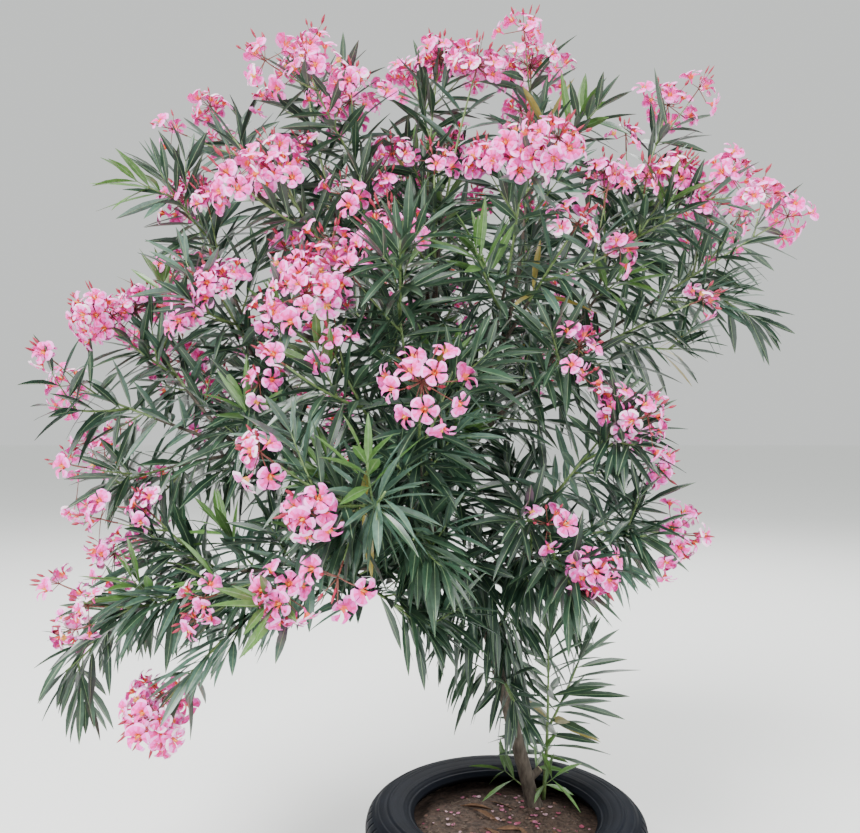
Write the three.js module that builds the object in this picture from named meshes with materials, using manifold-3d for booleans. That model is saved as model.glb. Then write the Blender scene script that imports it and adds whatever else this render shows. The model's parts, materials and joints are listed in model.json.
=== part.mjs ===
// A pink oleander grown as one leaning stem with an open, spreading crown, planted in a car tyre.
// Millimetres, +Z up, +X to the right and -Y towards the front. The origin is the middle of the
// flat underside of the tyre and its soil. Angles are in degrees, turned about +Z from +X.

import * as THREE from 'three';
import { mergeVertices } from 'three/addons/utils/BufferGeometryUtils.js';
import Module from 'manifold-3d';

const wasm = await Module();
wasm.setup();

// Running clearance between neighbouring solids
const GAP = 0.3;

// The tyre lies on its side: 632 mm across and 205 mm wide, for a 406 mm wheel
const TYRE = {
  outerRadius: 316,
  beadRadius: 206,
  width: 205,
  wall: 11,
  crown: 14,
  sides: 32,
};

// Soil fills the casing and is heaped a little under the stem
const SOIL = { mound: 150, moundRadius: 176, edge: 132, wallGap: 1 };

// The stem leans to the left and bends further over below its fork
const TRUNK = {
  foot: [80, 112, SOIL.mound + GAP],
  bends: [[6, 64, 430], [-52, 30, 625]],
  fork: [-145, 0, 755],
  flareRadius: 23,
  footRadius: 17.5,
  forkRadius: 13,
  flareHeight: 45,
  sides: 12,
  steps: 14,
};

// A pruned side stem, cut off square low on the trunk
const STUB = { share: 0.1, turn: 10, lift: 40, length: 42, footRadius: 10, endRadius: 8.5 };

// Every limb starts on the middle line of the one it grows from, this far apart along it
const FORK_SPACING = 34;
const LIMB = { sides: 7, steps: 4, ownAim: 0.7, bend: 0.5 };

// Main boughs: what each grows from, where its end is about the fork's upright line (turn,
// distance out, height above the ground), and its radius at both ends
const BOUGHS = {
  main_up: { from: 'trunk', turn: 40, out: 35, height: 1055, radii: [12, 10] },
  left: { from: 'trunk', turn: 194, out: 320, height: 960, radii: [10.5, 8] },
  low_left: { from: 'trunk', turn: 208, out: 390, height: 750, radii: [9, 6.2] },
  front: { from: 'trunk', turn: 256, out: 175, height: 870, radii: [9, 7] },
  low_right: { from: 'trunk', before: 140, turn: 340, out: 175, height: 800, radii: [8.5, 7] },
  up_mid: { from: 'main_up', turn: 120, out: 60, height: 1340, radii: [9, 7] },
  up_left: { from: 'main_up', turn: 180, out: 150, height: 1285, radii: [9, 7] },
  up_right: { from: 'main_up', turn: 354, out: 150, height: 1265, radii: [9, 7] },
  back: { from: 'main_up', turn: 92, out: 165, height: 1130, radii: [8.5, 7] },
  right: { from: 'main_up', before: 140, turn: 2, out: 290, height: 1220, radii: [9, 7] },
  left_out: { from: 'left', turn: 183, out: 490, height: 1020, radii: [7.5, 6.3] },
  left_up: { from: 'left', turn: 190, out: 390, height: 1160, radii: [7.5, 6.3] },
};

// Masses of foliage: the bough that carries each, where the tip of its leading twig is, and
// how many of its twigs end in a cluster of flowers
const MASSES = {
  top: { from: 'up_mid', turn: 100, out: 40, height: 1910, blooms: 2 },
  top_front: { from: 'up_mid', turn: 330, out: 85, height: 1850, blooms: 3 },
  back_top: { from: 'up_mid', turn: 88, out: 260, height: 1790, blooms: 2 },
  centre_high: { from: 'up_mid', turn: 262, out: 110, height: 1610, blooms: 1 },
  top_left: { from: 'up_left', turn: 171, out: 330, height: 1915, blooms: 2 },
  upper_left: { from: 'up_left', turn: 170, out: 555, height: 1825, blooms: 2 },
  upper_mid: { from: 'up_left', turn: 199, out: 215, height: 1755, blooms: 2 },
  left_up: { from: 'up_left', turn: 210, out: 385, height: 1560, blooms: 3 },
  back_left_top: { from: 'up_left', turn: 132, out: 470, height: 1640, blooms: 2 },
  top_right: { from: 'up_right', turn: 0, out: 210, height: 1870, blooms: 3 },
  back_right_top: { from: 'up_right', turn: 52, out: 400, height: 1660, blooms: 2 },
  mid_right: { from: 'up_right', turn: 318, out: 350, height: 1445, blooms: 2 },
  mid_upper: { from: 'up_right', turn: 303, out: 300, height: 1580, blooms: 3 },
  right_tip: { from: 'right', turn: 3, out: 800, height: 1545, blooms: 2 },
  right_upper: { from: 'right', turn: 7, out: 545, height: 1810, blooms: 1 },
  right_low: { from: 'right', turn: 352, out: 555, height: 1330, blooms: 1 },
  right: { from: 'right', turn: 348, out: 510, height: 1585, blooms: 3 },
  right_inner: { from: 'right', turn: 326, out: 330, height: 1215, blooms: 1 },
  left_upper_outer: { from: 'left_up', turn: 185, out: 560, height: 1555, blooms: 3 },
  left_mid: { from: 'left_up', turn: 203, out: 500, height: 1330, blooms: 2 },
  left_mid_up: { from: 'left_up', turn: 228, out: 415, height: 1340, blooms: 3 },
  left_tip: { from: 'left_out', turn: 184, out: 800, height: 1140, blooms: 3 },
  left_shoulder: { from: 'left_out', turn: 178, out: 700, height: 1310, blooms: 3 },
  left_low_tip: { from: 'left_out', turn: 180, out: 810, height: 905, blooms: 2 },
  left_inner: { from: 'left_out', turn: 222, out: 480, height: 1130, blooms: 1 },
  back_left: { from: 'left_out', turn: 148, out: 560, height: 1150, blooms: 2 },
  low_left_tip: { from: 'low_left', turn: 188, out: 800, height: 625, blooms: 2 },
  low_left_upper: { from: 'low_left', turn: 186, out: 700, height: 775, blooms: 2 },
  low_left_foot: { from: 'low_left', turn: 205, out: 600, height: 515, blooms: 3 },
  low_left_mid: { from: 'low_left', turn: 218, out: 540, height: 740, blooms: 1 },
  low_front: { from: 'low_left', turn: 238, out: 490, height: 735, blooms: 3 },
  front_low: { from: 'low_left', turn: 262, out: 300, height: 640, blooms: 0 },
  front_left: { from: 'front', turn: 248, out: 560, height: 915, blooms: 3 },
  centre_front: { from: 'front', turn: 265, out: 470, height: 1110, blooms: 3 },
  centre_low: { from: 'front', turn: 262, out: 400, height: 850, blooms: 0 },
  centre_left: { from: 'front', turn: 240, out: 410, height: 1190, blooms: 2 },
  centre_left_up: { from: 'front', turn: 252, out: 320, height: 1400, blooms: 2 },
  low_right_tip: { from: 'low_right', turn: 342, out: 480, height: 835, blooms: 1 },
  right_front: { from: 'low_right', turn: 336, out: 425, height: 1060, blooms: 2 },
  low_right: { from: 'low_right', turn: 312, out: 400, height: 790, blooms: 3 },
  back_mid: { from: 'back', turn: 100, out: 440, height: 1380, blooms: 2 },
  back_right: { from: 'back', turn: 50, out: 480, height: 1270, blooms: 2 },
  back_low: { from: 'back', turn: 118, out: 420, height: 1010, blooms: 2 },
  trunk_shoot: { from: 'trunk', before: 330, turn: 325, out: 190, height: 470, blooms: 0 },
};

// A young shoot from the root, standing in the soil beside the stem
const BASAL = { foot: [108, 146, SOIL.mound + GAP], bow: [12, 6, 0], tip: [160, 160, 560], seed: 977 };

// Leading twigs and their side twigs are three-sided
const TWIG = {
  sides: 3,
  leaderSteps: 3,
  sideSteps: 1,
  footRadius: 5.2,
  tipRadius: 3.2,
  sideGirth: 0.9,
  ownAim: 0.75,
  firstSide: 0.34,
  lastSide: 0.9,
  sideSpacing: 150,
  mostSides: 3,
  sideShare: 0.42,
  leastSide: 110,
  mostSide: 180,
  spread: 42,
  rise: 0.2,
};
const GOLDEN_ANGLE = 137.5;

// Leaves stand in whorls of three and are larger than life
const LEAF = {
  length: 178,
  width: 38,
  thickness: 3.2,
  widest: 0.42,
  belowBloom: 88,
  belowBud: 34,
  whorlSpacing: 74,
  lowestShare: 0.1,
  leaderWhorls: 6,
  sideWhorls: 2,
  spread: 44,
  openLower: 5,
  roll: 60,
  stagger: 3,
};

// Leaves low on the plant hang, and leaves at its top stand out straight
const DROOP = { low: 0.5, high: 0.04, lowHeight: 550, highHeight: 1500 };

// Each bloom is an open five-petalled cone, larger than life. A cluster has one on the end of
// its twig and others beside it on stalks of their own.
const BLOOM = {
  radius: 34,
  notch: 0.6,
  depth: 26,
  hollow: 0.5,
  spread: 76,
  stalkLength: 36,
  stalkRadius: 3,
  stalkSpacing: 22,
  leaderStalks: 1,
  sideStalks: 1,
  leafRoom: 5,
};

// How far the crown reaches to each side and upwards
const REACH = { left: -1015, right: 730, front: -650, back: 610, top: 2005 };

// Room that a twig, leaf or flower leaves to other masses, to limbs, and to the pot and soil
const CLEAR = { mass: 9, limb: 5, pot: 12, soil: 12 };

const FINISH = {
  rubber: { color: 0x262a32, roughness: 0.75 },
  soil: { color: 0x5a4637, roughness: 1 },
  bark: { color: 0x6e6459, roughness: 0.9 },
  foliage: { color: 0x48654a, roughness: 0.6 },
};

const UP = new THREE.Vector3(0, 0, 1);
const radians = THREE.MathUtils.degToRad;

// A repeatable stream of numbers between 0 and 1
function seeded(seed) {
  let state = seed >>> 0;
  return () => {
    state = (state + 0x6d2b79f5) >>> 0;
    let mixed = Math.imul(state ^ (state >>> 15), state | 1);
    mixed ^= mixed + Math.imul(mixed ^ (mixed >>> 7), mixed | 61);
    return ((mixed ^ (mixed >>> 14)) >>> 0) / 4294967296;
  };
}

function vector(xyz) {
  return new THREE.Vector3(...xyz);
}

function mix(a, b, share) {
  return a + (b - a) * share;
}

// A place given by its turn and distance about the fork's upright line, and its height
function aboutFork({ turn, out, height }) {
  const angle = radians(turn);
  const [x, y] = TRUNK.fork;
  return vector([x + out * Math.cos(angle), y + out * Math.sin(angle), height]);
}

// Two directions square to an axis, the first of them level
function squareTo(axis) {
  const level = new THREE.Vector3().crossVectors(UP, axis);
  if (level.length() < 0.05) {
    level.set(1, 0, 0).addScaledVector(axis, -axis.x);
  }
  level.normalize();
  return [level, new THREE.Vector3().crossVectors(axis, level)];
}

// The direction that leaves an axis at a spread angle, on the side given by a turn about it
function splayed(axis, spread, turn) {
  const [level, rising] = squareTo(axis);
  const side = level.multiplyScalar(Math.cos(radians(turn)));
  side.addScaledVector(rising, Math.sin(radians(turn)));
  const direction = axis.clone().multiplyScalar(Math.cos(radians(spread)));
  return direction.addScaledVector(side, Math.sin(radians(spread))).normalize();
}

function meshOf(points, faces) {
  const geometry = new THREE.BufferGeometry();
  const flat = points.flatMap((point) => [point.x, point.y, point.z]);
  geometry.setAttribute('position', new THREE.Float32BufferAttribute(flat, 3));
  geometry.setIndex(faces.flat());
  return geometry;
}

// The rings of points of a tube; a level tube has its first ring flat on the ground
function tubeRings({ curve, radiusAt, sides, steps, beyond = 0, level = false }) {
  const frames = curve.computeFrenetFrames(steps, false);
  return frames.tangents.map((tangent, step) => {
    const share = step / steps;
    const past = share === 0 ? -beyond : share === 1 ? beyond : 0;
    const centre = curve.getPointAt(share).addScaledVector(tangent, past);
    return Array.from({ length: sides }, (_, side) => {
      const angle = (2 * Math.PI * side) / sides;
      const arm = frames.normals[step].clone().multiplyScalar(Math.cos(angle));
      arm.addScaledVector(frames.binormals[step], Math.sin(angle));
      if (level && step === 0) {
        arm.setZ(0).normalize();
      }
      return centre.clone().addScaledVector(arm, radiusAt(share));
    });
  });
}

// Faces round a tube from each ring of points to the next
function sleeveFaces(sides, steps) {
  const faces = [];
  for (let step = 0; step < steps; step += 1) {
    for (let side = 0; side < sides; side += 1) {
      const low = step * sides + side;
      const next = step * sides + ((side + 1) % sides);
      faces.push([low, next, next + sides], [low, next + sides, low + sides]);
    }
  }
  return faces;
}

// The flat end of a tube, as a fan from its first corner
function capFaces(first, sides) {
  return Array.from({ length: sides - 2 }, (_, side) => [first, first + side + 1, first + side + 2]);
}

function reversed(faces) {
  return faces.map(([a, b, c]) => [a, c, b]);
}

// A closed tube with flat ends, whose radius changes along a curve
function taperedTube(tube) {
  const { sides, steps } = tube;
  const foot = reversed(capFaces(0, sides));
  const faces = [...sleeveFaces(sides, steps), ...foot, ...capFaces(steps * sides, sides)];
  return meshOf(tubeRings(tube).flat(), faces);
}

// The rim of a flower on the end of a curve: five petal tips and five notches
function bloomRim(curve) {
  const { tangents, normals, binormals } = curve.computeFrenetFrames(1, false);
  const middle = curve.getPointAt(1).addScaledVector(tangents[1], BLOOM.depth);
  return Array.from({ length: 10 }, (_, corner) => {
    const angle = radians(36 * corner);
    const reach = BLOOM.radius * (corner % 2 === 0 ? 1 : BLOOM.notch);
    const point = middle.clone().addScaledVector(normals[1], reach * Math.cos(angle));
    return point.addScaledVector(binormals[1], reach * Math.sin(angle));
  });
}

// Faces that join the end of a tube to a wider rim with more points, turn by turn
function flareFaces(first, sides, rimFirst, rimCount) {
  const near = (corner) => Math.round((corner * sides) / rimCount);
  const faces = [];
  for (let corner = 0; corner < rimCount; corner += 1) {
    const next = rimFirst + ((corner + 1) % rimCount);
    const [here, there] = [near(corner), near(corner + 1)];
    faces.push([first + (here % sides), next, rimFirst + corner]);
    if (there !== here) {
      faces.push([first + (here % sides), first + (there % sides), next]);
    }
  }
  return faces;
}

// The end of a curve opened into a flower round a hollow heart, on points made so far
function openedFaces(last, sides, rimFirst, rimCount) {
  const heartIndex = rimFirst + rimCount;
  const petals = Array.from({ length: rimCount }, (_, corner) => {
    return [rimFirst + corner, rimFirst + ((corner + 1) % rimCount), heartIndex];
  });
  return [...flareFaces(last, sides, rimFirst, rimCount), ...petals];
}

function bloomHeart(curve) {
  return curve.getPointAt(1).addScaledVector(curve.getTangentAt(1), BLOOM.depth * BLOOM.hollow);
}

// A three-sided twig with a flower on its end
function bloomingTube(tube, rim) {
  const { curve, sides, steps } = tube;
  const last = steps * sides;
  const foot = reversed(capFaces(0, sides));
  const opened = openedFaces(last, sides, last + sides, rim.length);
  const points = [...tubeRings(tube).flat(), ...rim, bloomHeart(curve)];
  return meshOf(points, [...sleeveFaces(sides, steps), ...foot, ...opened]);
}

// A flower on a stalk that widens from a point inside its twig
function stalkedFlower(curve, rim) {
  const sides = TWIG.sides;
  const rings = tubeRings({ curve, radiusAt: () => BLOOM.stalkRadius, sides, steps: 1 });
  const stalk = Array.from({ length: sides }, (_, side) => [1 + ((side + 1) % sides), 1 + side, 0]);
  const opened = openedFaces(1, sides, 1 + sides, rim.length);
  const points = [curve.getPointAt(0), ...rings[1], ...rim, bloomHeart(curve)];
  return meshOf(points, [...stalk, ...opened]);
}

// A leaf is a thin closed blade of four faces: its edge runs round a root, a tip and the two
// corners of its widest part, which lie above the straight keel of the midrib
function blade({ root, tip, side, width, thickness }) {
  const axis = tip.clone().sub(root).normalize();
  const normal = new THREE.Vector3().crossVectors(axis, side).normalize();
  const centre = root.clone().lerp(tip, LEAF.widest).addScaledVector(normal, thickness);
  const left = centre.clone().addScaledVector(side, width / 2);
  const right = centre.clone().addScaledVector(side, -width / 2);
  return meshOf([root, tip, left, right], [[0, 1, 3], [0, 2, 1], [2, 3, 1], [3, 2, 0]]);
}

// A geometry reduced to shared points and faces, with collapsed faces left out
function bare(geometry) {
  const plain = geometry.clone();
  plain.deleteAttribute('normal');
  plain.deleteAttribute('uv');
  const merged = mergeVertices(plain, 1e-4);
  const faces = [];
  const index = merged.index.array;
  for (let face = 0; face < index.length; face += 3) {
    const [a, b, c] = index.slice(face, face + 3);
    if (a !== b && b !== c && c !== a) {
      faces.push(a, b, c);
    }
  }
  merged.setIndex(faces);
  return merged;
}

// A geometry as a solid that can be joined and cut
function solidOf(geometry) {
  const closed = bare(geometry);
  return new wasm.Manifold(new wasm.Mesh({
    numProp: 3,
    vertProperties: Float32Array.from(closed.attributes.position.array),
    triVerts: Uint32Array.from(closed.index.array),
  }));
}

// The faces of each separate shell of a mesh
function shells(triangles, pointCount) {
  const parent = Array.from({ length: pointCount }, (_, index) => index);
  const rootOf = (point) => {
    let root = point;
    while (parent[root] !== root) {
      parent[root] = parent[parent[root]];
      root = parent[root];
    }
    return root;
  };
  for (let face = 0; face < triangles.length; face += 3) {
    parent[rootOf(triangles[face + 1])] = rootOf(triangles[face]);
    parent[rootOf(triangles[face + 2])] = rootOf(triangles[face]);
  }
  const found = new Map();
  for (let face = 0; face < triangles.length; face += 3) {
    const root = rootOf(triangles[face]);
    if (!found.has(root)) {
      found.set(root, []);
    }
    found.get(root).push(...triangles.slice(face, face + 3));
  }
  return [...found.values()];
}

// The signed volume inside a shell, which is below zero for a sealed hollow
function shellVolume(shell, positions) {
  const corner = (index) => new THREE.Vector3().fromArray(positions, shell[index] * 3);
  let volume = 0;
  for (let face = 0; face < shell.length; face += 3) {
    volume += corner(face).dot(corner(face + 1).cross(corner(face + 2))) / 6;
  }
  return volume;
}

// The largest outer shell of a solid: a loose scrap is dropped and a sealed hollow is filled
function largestShell(solid) {
  const { vertProperties, triVerts } = solid.getMesh();
  const all = shells(triVerts, vertProperties.length / 3);
  const volumes = all.map((shell) => shellVolume(shell, vertProperties));
  const geometry = new THREE.BufferGeometry();
  const positions = new THREE.BufferAttribute(Float32Array.from(vertProperties), 3);
  geometry.setAttribute('position', positions);
  geometry.setIndex(all[volumes.indexOf(Math.max(...volumes))]);
  return bare(geometry.toNonIndexed());
}

function joined(parts) {
  return parts.reduce((whole, part) => whole.add(part));
}

function cutClear(solid, others) {
  return others.reduce((rest, other) => rest.subtract(other), solid);
}

// A curve from a parent limb to a tip, which leaves partly along the parent
function limbCurve(place, tip, ownAim) {
  const reach = place.point.distanceTo(tip);
  const own = tip.clone().sub(place.point).normalize();
  const aim = place.direction.clone().lerp(own, ownAim).normalize();
  const control = place.point.clone().addScaledVector(aim, reach * LIMB.bend);
  return new THREE.QuadraticBezierCurve3(place.point, control, tip);
}

// Limbs by name, each with its curve, its radius along it and how many grow from it so far
const limbs = {};

function addLimb(name, curve, radiusAt, sides, steps) {
  limbs[name] = {
    curve,
    radiusAt,
    sides,
    steps,
    length: curve.getLength(),
    line: curve.getSpacedPoints(12),
    carried: 0,
  };
}

// Where a new limb or twig leaves its parent: each one starts a little further from the end
function leavePlace(parentName, before) {
  const parent = limbs[parentName];
  const setBack = before ?? parent.carried * FORK_SPACING;
  parent.carried += before === undefined ? 1 : 0;
  const share = 1 - setBack / parent.length;
  return { point: parent.curve.getPointAt(share), direction: parent.curve.getTangentAt(share) };
}

// The trunk tapers to its fork and swells into a flare just above the soil
function planTrunk() {
  const way = [TRUNK.foot, ...TRUNK.bends, TRUNK.fork].map(vector);
  const curve = new THREE.CatmullRomCurve3(way, false, 'centripetal');
  const length = curve.getLength();
  const radiusAt = (share) => {
    const flare = Math.max(0, 1 - (share * length) / TRUNK.flareHeight);
    const swelling = (TRUNK.flareRadius - TRUNK.footRadius) * flare * flare;
    return mix(TRUNK.footRadius, TRUNK.forkRadius, share) + swelling;
  };
  addLimb('trunk', curve, radiusAt, TRUNK.sides, TRUNK.steps);
}

function planBoughs() {
  for (const [name, bough] of Object.entries(BOUGHS)) {
    const curve = limbCurve(leavePlace(bough.from, bough.before), aboutFork(bough), LIMB.ownAim);
    const [foot, tip] = bough.radii;
    addLimb(name, curve, (share) => mix(foot, tip, share), LIMB.sides, LIMB.steps);
  }
}

// The leading twig of every mass, from its bough to its tip, and the shoot from the soil
function planLeaders() {
  const leaders = Object.entries(MASSES).map(([name, mass], index) => ({
    name,
    from: mass.from,
    curve: limbCurve(leavePlace(mass.from, mass.before), aboutFork(mass), TWIG.ownAim),
    blooms: mass.blooms,
    seed: 101 + 37 * index,
  }));
  const foot = vector(BASAL.foot);
  const tip = vector(BASAL.tip);
  const bow = foot.clone().lerp(tip, 0.5).add(vector(BASAL.bow));
  const curve = new THREE.QuadraticBezierCurve3(foot, bow, tip);
  leaders.push({ name: 'basal_shoot', from: 'soil', curve, blooms: 0, seed: BASAL.seed });
  for (const leader of leaders) {
    leader.length = leader.curve.getLength();
    leader.line = leader.curve.getSpacedPoints(8);
  }
  return leaders;
}

// The distance from a point to a line of points, and how far along the line it is met
function nearestOn(point, line) {
  const segment = new THREE.Line3();
  const nearest = new THREE.Vector3();
  const found = { distance: Infinity, share: 0 };
  for (let index = 1; index < line.length; index += 1) {
    segment.set(line[index - 1], line[index]);
    segment.closestPointToPoint(point, true, nearest);
    const distance = nearest.distanceTo(point);
    if (distance < found.distance) {
      const part = segment.closestPointToPointParameter(point, true);
      found.distance = distance;
      found.share = (index - 1 + part) / (line.length - 1);
    }
  }
  return found;
}

// A point keeps to a mass's own space when no other leading twig is nearly as near
function inOwnSpace(point, owner) {
  const own = nearestOn(point, owner.line).distance;
  return leaders.every((other) => other === owner
    || nearestOn(point, other.line).distance > own + CLEAR.mass);
}

function clearOfLimbs(point) {
  return Object.values(limbs).every((limb) => {
    const { distance, share } = nearestOn(point, limb.line);
    return distance > limb.radiusAt(share) + CLEAR.limb;
  });
}

// Clear of the ring of the tyre, and above the soil inside it
function clearOfPot(point) {
  const out = Math.hypot(point.x, point.y);
  if (point.z > TYRE.width + CLEAR.pot || out > TYRE.outerRadius + CLEAR.pot) {
    return true;
  }
  return out < TYRE.beadRadius - CLEAR.pot && point.z > SOIL.mound + CLEAR.soil;
}

function withinReach({ x, y, z }) {
  return x > REACH.left && x < REACH.right && y > REACH.front && y < REACH.back && z < REACH.top;
}

function fits(points, owner) {
  return points.every((point) => withinReach(point) && clearOfPot(point)
    && clearOfLimbs(point) && inOwnSpace(point, owner));
}

// Side twigs leave the leading twig one golden angle after another and turn a little upwards
function sideTwigs(leader) {
  const wanted = Math.round(leader.length / TWIG.sideSpacing);
  const count = THREE.MathUtils.clamp(wanted, 2, TWIG.mostSides);
  const twigs = [];
  for (let index = 0; index < count; index += 1) {
    const chance = seeded(leader.seed * 16 + index);
    const share = mix(TWIG.firstSide, TWIG.lastSide, (index + 0.6 * chance()) / count);
    const turn = index * GOLDEN_ANGLE + leader.seed + 40 * chance();
    const spread = TWIG.spread * mix(0.85, 1.2, chance());
    const wish = leader.length * TWIG.sideShare * mix(0.8, 1.15, chance());
    const length = THREE.MathUtils.clamp(wish, TWIG.leastSide, TWIG.mostSide);
    const start = leader.curve.getPointAt(share);
    const direction = splayed(leader.curve.getTangentAt(share), spread, turn);
    const bend = start.clone().addScaledVector(direction, length / 2);
    const tip = start.clone().addScaledVector(direction, length);
    tip.addScaledVector(UP, length * TWIG.rise);
    const curve = new THREE.QuadraticBezierCurve3(start, bend, tip);
    if (fits(curve.getSpacedPoints(5).slice(2), leader)) {
      twigs.push({ curve, length: curve.getLength(), footShare: share });
    }
  }
  return twigs;
}

// The places on a leaf that are tried against its space
function leafPlaces(root, tip, side, width) {
  return [0.3, 0.45, 0.6, 0.75, 0.9, 1].flatMap((share) => {
    const centre = root.clone().lerp(tip, share);
    const half = 0.8 * width * (1 - share);
    return [1, -1].map((edge) => centre.clone().addScaledVector(side, edge * half));
  });
}

function droopAt(height) {
  const share = (height - DROOP.lowHeight) / (DROOP.highHeight - DROOP.lowHeight);
  return mix(DROOP.low, DROOP.high, THREE.MathUtils.clamp(share, 0, 1));
}

// The direction across a leaf, rolled about the leaf's own length
function leafSide(along, axis, roll) {
  const level = new THREE.Vector3().crossVectors(along, axis).normalize();
  return level.applyAxisAngle(axis, radians(roll));
}

// A whorl of three leaves on a twig, each kept only where it fits
function whorl({ curve, share, turn, spread, size, rolls }, mass) {
  const along = curve.getTangentAt(share);
  const length = LEAF.length * size;
  const width = LEAF.width * size;
  for (let index = 0; index < 3; index += 1) {
    const direction = splayed(along, spread, turn + index * 120);
    const root = curve.getPointAt(share).addScaledVector(along, index * LEAF.stagger);
    const axis = direction.addScaledVector(UP, -droopAt(root.z)).normalize();
    const tip = root.clone().addScaledVector(axis, length);
    const side = leafSide(along, axis, rolls[index]);
    const places = leafPlaces(root, tip, side, width);
    if (clearOfBlooms(places, mass) && fits(places, mass.leader)) {
      mass.pieces.push(blade({ root, tip, side, width, thickness: LEAF.thickness }));
    }
  }
}

// Whorls from below the end of a twig down towards its foot
function addLeaves(twig, whorls, seed, mass) {
  const chance = seeded(seed);
  const first = twig.blooming ? LEAF.belowBloom : LEAF.belowBud;
  for (let index = 0; index < whorls; index += 1) {
    const share = 1 - (first + index * LEAF.whorlSpacing) / twig.length;
    const turn = 60 * index + 90 * chance();
    const spread = LEAF.spread * mix(0.75, 1.05, chance()) + LEAF.openLower * index;
    const size = mix(0.8, 1.05, chance());
    const rolls = [0, 1, 2].map(() => LEAF.roll * mix(-1, 1, chance()));
    if (share > LEAF.lowestShare) {
      whorl({ curve: twig.curve, share, turn, spread, size, rolls }, mass);
    }
  }
}

function clearOfBlooms(points, mass) {
  const room = BLOOM.radius + BLOOM.leafRoom;
  return points.every((point) => mass.blooms.every((bloom) => point.distanceTo(bloom) > room));
}

function rimMiddle(curve) {
  return curve.getPointAt(1).addScaledVector(curve.getTangentAt(1), BLOOM.depth);
}

// A twig that opens into a flower where one is wanted and fits. The shoot from the soil has a
// level foot.
function addTwig({ curve, footRadius, steps, blooming, leading }, mass) {
  const radiusAt = (share) => mix(footRadius, TWIG.tipRadius, share);
  const level = leading && mass.leader.from === 'soil';
  const tube = { curve, radiusAt, sides: TWIG.sides, steps, level };
  const rim = bloomRim(curve);
  if (blooming && fits(rim, mass.leader)) {
    mass.pieces.push(bloomingTube(tube, rim));
    mass.blooms.push(rimMiddle(curve));
  } else {
    mass.pieces.push(taperedTube(tube));
  }
}

// Flowers on stalks of their own, beside and below the end of a blooming twig
function addStalkedFlowers(twig, stalks, seed, mass) {
  const chance = seeded(seed);
  for (let index = 0; index < stalks; index += 1) {
    const share = 1 - (BLOOM.stalkSpacing * (index + 0.6)) / twig.length;
    const turn = index * 180 + 140 * chance();
    const along = twig.curve.getTangentAt(share);
    const direction = splayed(along, BLOOM.spread * mix(0.85, 1.05, chance()), turn);
    const foot = twig.curve.getPointAt(share);
    const tip = foot.clone().addScaledVector(direction, BLOOM.stalkLength);
    const curve = new THREE.LineCurve3(foot, tip);
    const rim = bloomRim(curve);
    if (fits(rim, mass.leader)) {
      mass.pieces.push(stalkedFlower(curve, rim));
      mass.blooms.push(rimMiddle(curve));
    }
  }
}

// The leading twig and its side twigs, thickest first, with those that bloom marked
function twigsOf(leader) {
  const { footRadius, tipRadius, leaderSteps, sideSteps } = TWIG;
  const sides = sideTwigs(leader).map((twig) => {
    const sideRadius = TWIG.sideGirth * mix(footRadius, tipRadius, twig.footShare);
    return { ...twig, footRadius: sideRadius, steps: sideSteps, leading: false };
  });
  const all = [{ ...leader, footRadius, steps: leaderSteps, leading: true }, ...sides];
  return all.map((twig, index) => ({ ...twig, blooming: index < leader.blooms, index }));
}

// One mass: its twigs, flowers and leaves, joined as one solid and cut clear at its foot. A side
// twig with neither flower nor leaf is left out.
function massSolid(leader, cutters) {
  const mass = { leader, pieces: [], blooms: [] };
  const twigs = twigsOf(leader);
  for (const twig of twigs.filter(({ blooming }) => blooming)) {
    addTwig(twig, mass);
    const stalks = twig.leading ? BLOOM.leaderStalks : BLOOM.sideStalks;
    addStalkedFlowers(twig, stalks, leader.seed * 11 + twig.index, mass);
  }
  for (const twig of twigs) {
    const before = mass.pieces.length;
    const whorls = twig.leading ? LEAF.leaderWhorls : LEAF.sideWhorls;
    addLeaves(twig, whorls, leader.seed * 7 + twig.index, mass);
    if (!twig.blooming && (twig.leading || mass.pieces.length > before)) {
      addTwig(twig, mass);
    }
  }
  return cutClear(joined(mass.pieces.map(solidOf)), cutters);
}

// The leading twig alone, a little larger all round, to keep a neighbour clear of it
function leaderCutter({ curve }) {
  const room = 3 * GAP;
  const radiusAt = (share) => mix(TWIG.footRadius, TWIG.tipRadius, share) + room;
  const { sides, leaderSteps: steps } = TWIG;
  return solidOf(taperedTube({ curve, radiusAt, sides, steps, beyond: room }));
}

function limbTube(name, extra = 0) {
  const { curve, radiusAt, sides, steps } = limbs[name];
  const level = name === 'trunk';
  const grown = (share) => radiusAt(share) + extra;
  return taperedTube({ curve, radiusAt: grown, sides, steps, beyond: extra, level });
}

// The pruned stub leaves the trunk a short way above the soil
function stubTube() {
  const { curve } = limbs.trunk;
  const start = curve.getPointAt(STUB.share);
  const rise = Math.sin(radians(STUB.lift));
  const level = Math.cos(radians(STUB.lift));
  const turn = radians(STUB.turn);
  const direction = vector([level * Math.cos(turn), level * Math.sin(turn), rise]);
  const end = start.clone().addScaledVector(direction, STUB.length);
  const radiusAt = (share) => mix(STUB.footRadius, STUB.endRadius, share);
  const line = new THREE.LineCurve3(start, end);
  return taperedTube({ curve: line, radiusAt, sides: LIMB.sides, steps: 1 });
}

// Half of the tyre's wall, outside and inside, as distance out and height from its mid-plane
function tyreHalves() {
  const { outerRadius: rim, beadRadius: bead, width, wall, crown } = TYRE;
  const top = width / 2;
  const crest = mix(bead, rim, 0.52);
  const outside = [
    [bead, top - 23],
    [bead + 9, top - 14],
    [bead + 30, top - 4],
    [crest - 12, top],
    [crest + 12, top],
    [rim - 18, top - 9],
    [rim - 5, top - 22],
    [rim, top - 40],
  ];
  const inside = [
    [rim - crown, top - 40],
    [rim - crown - 18, top - wall - 6],
    [crest - 14, top - wall],
    [bead + 5, top - wall - 22],
  ];
  return { outside, inside };
}

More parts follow.
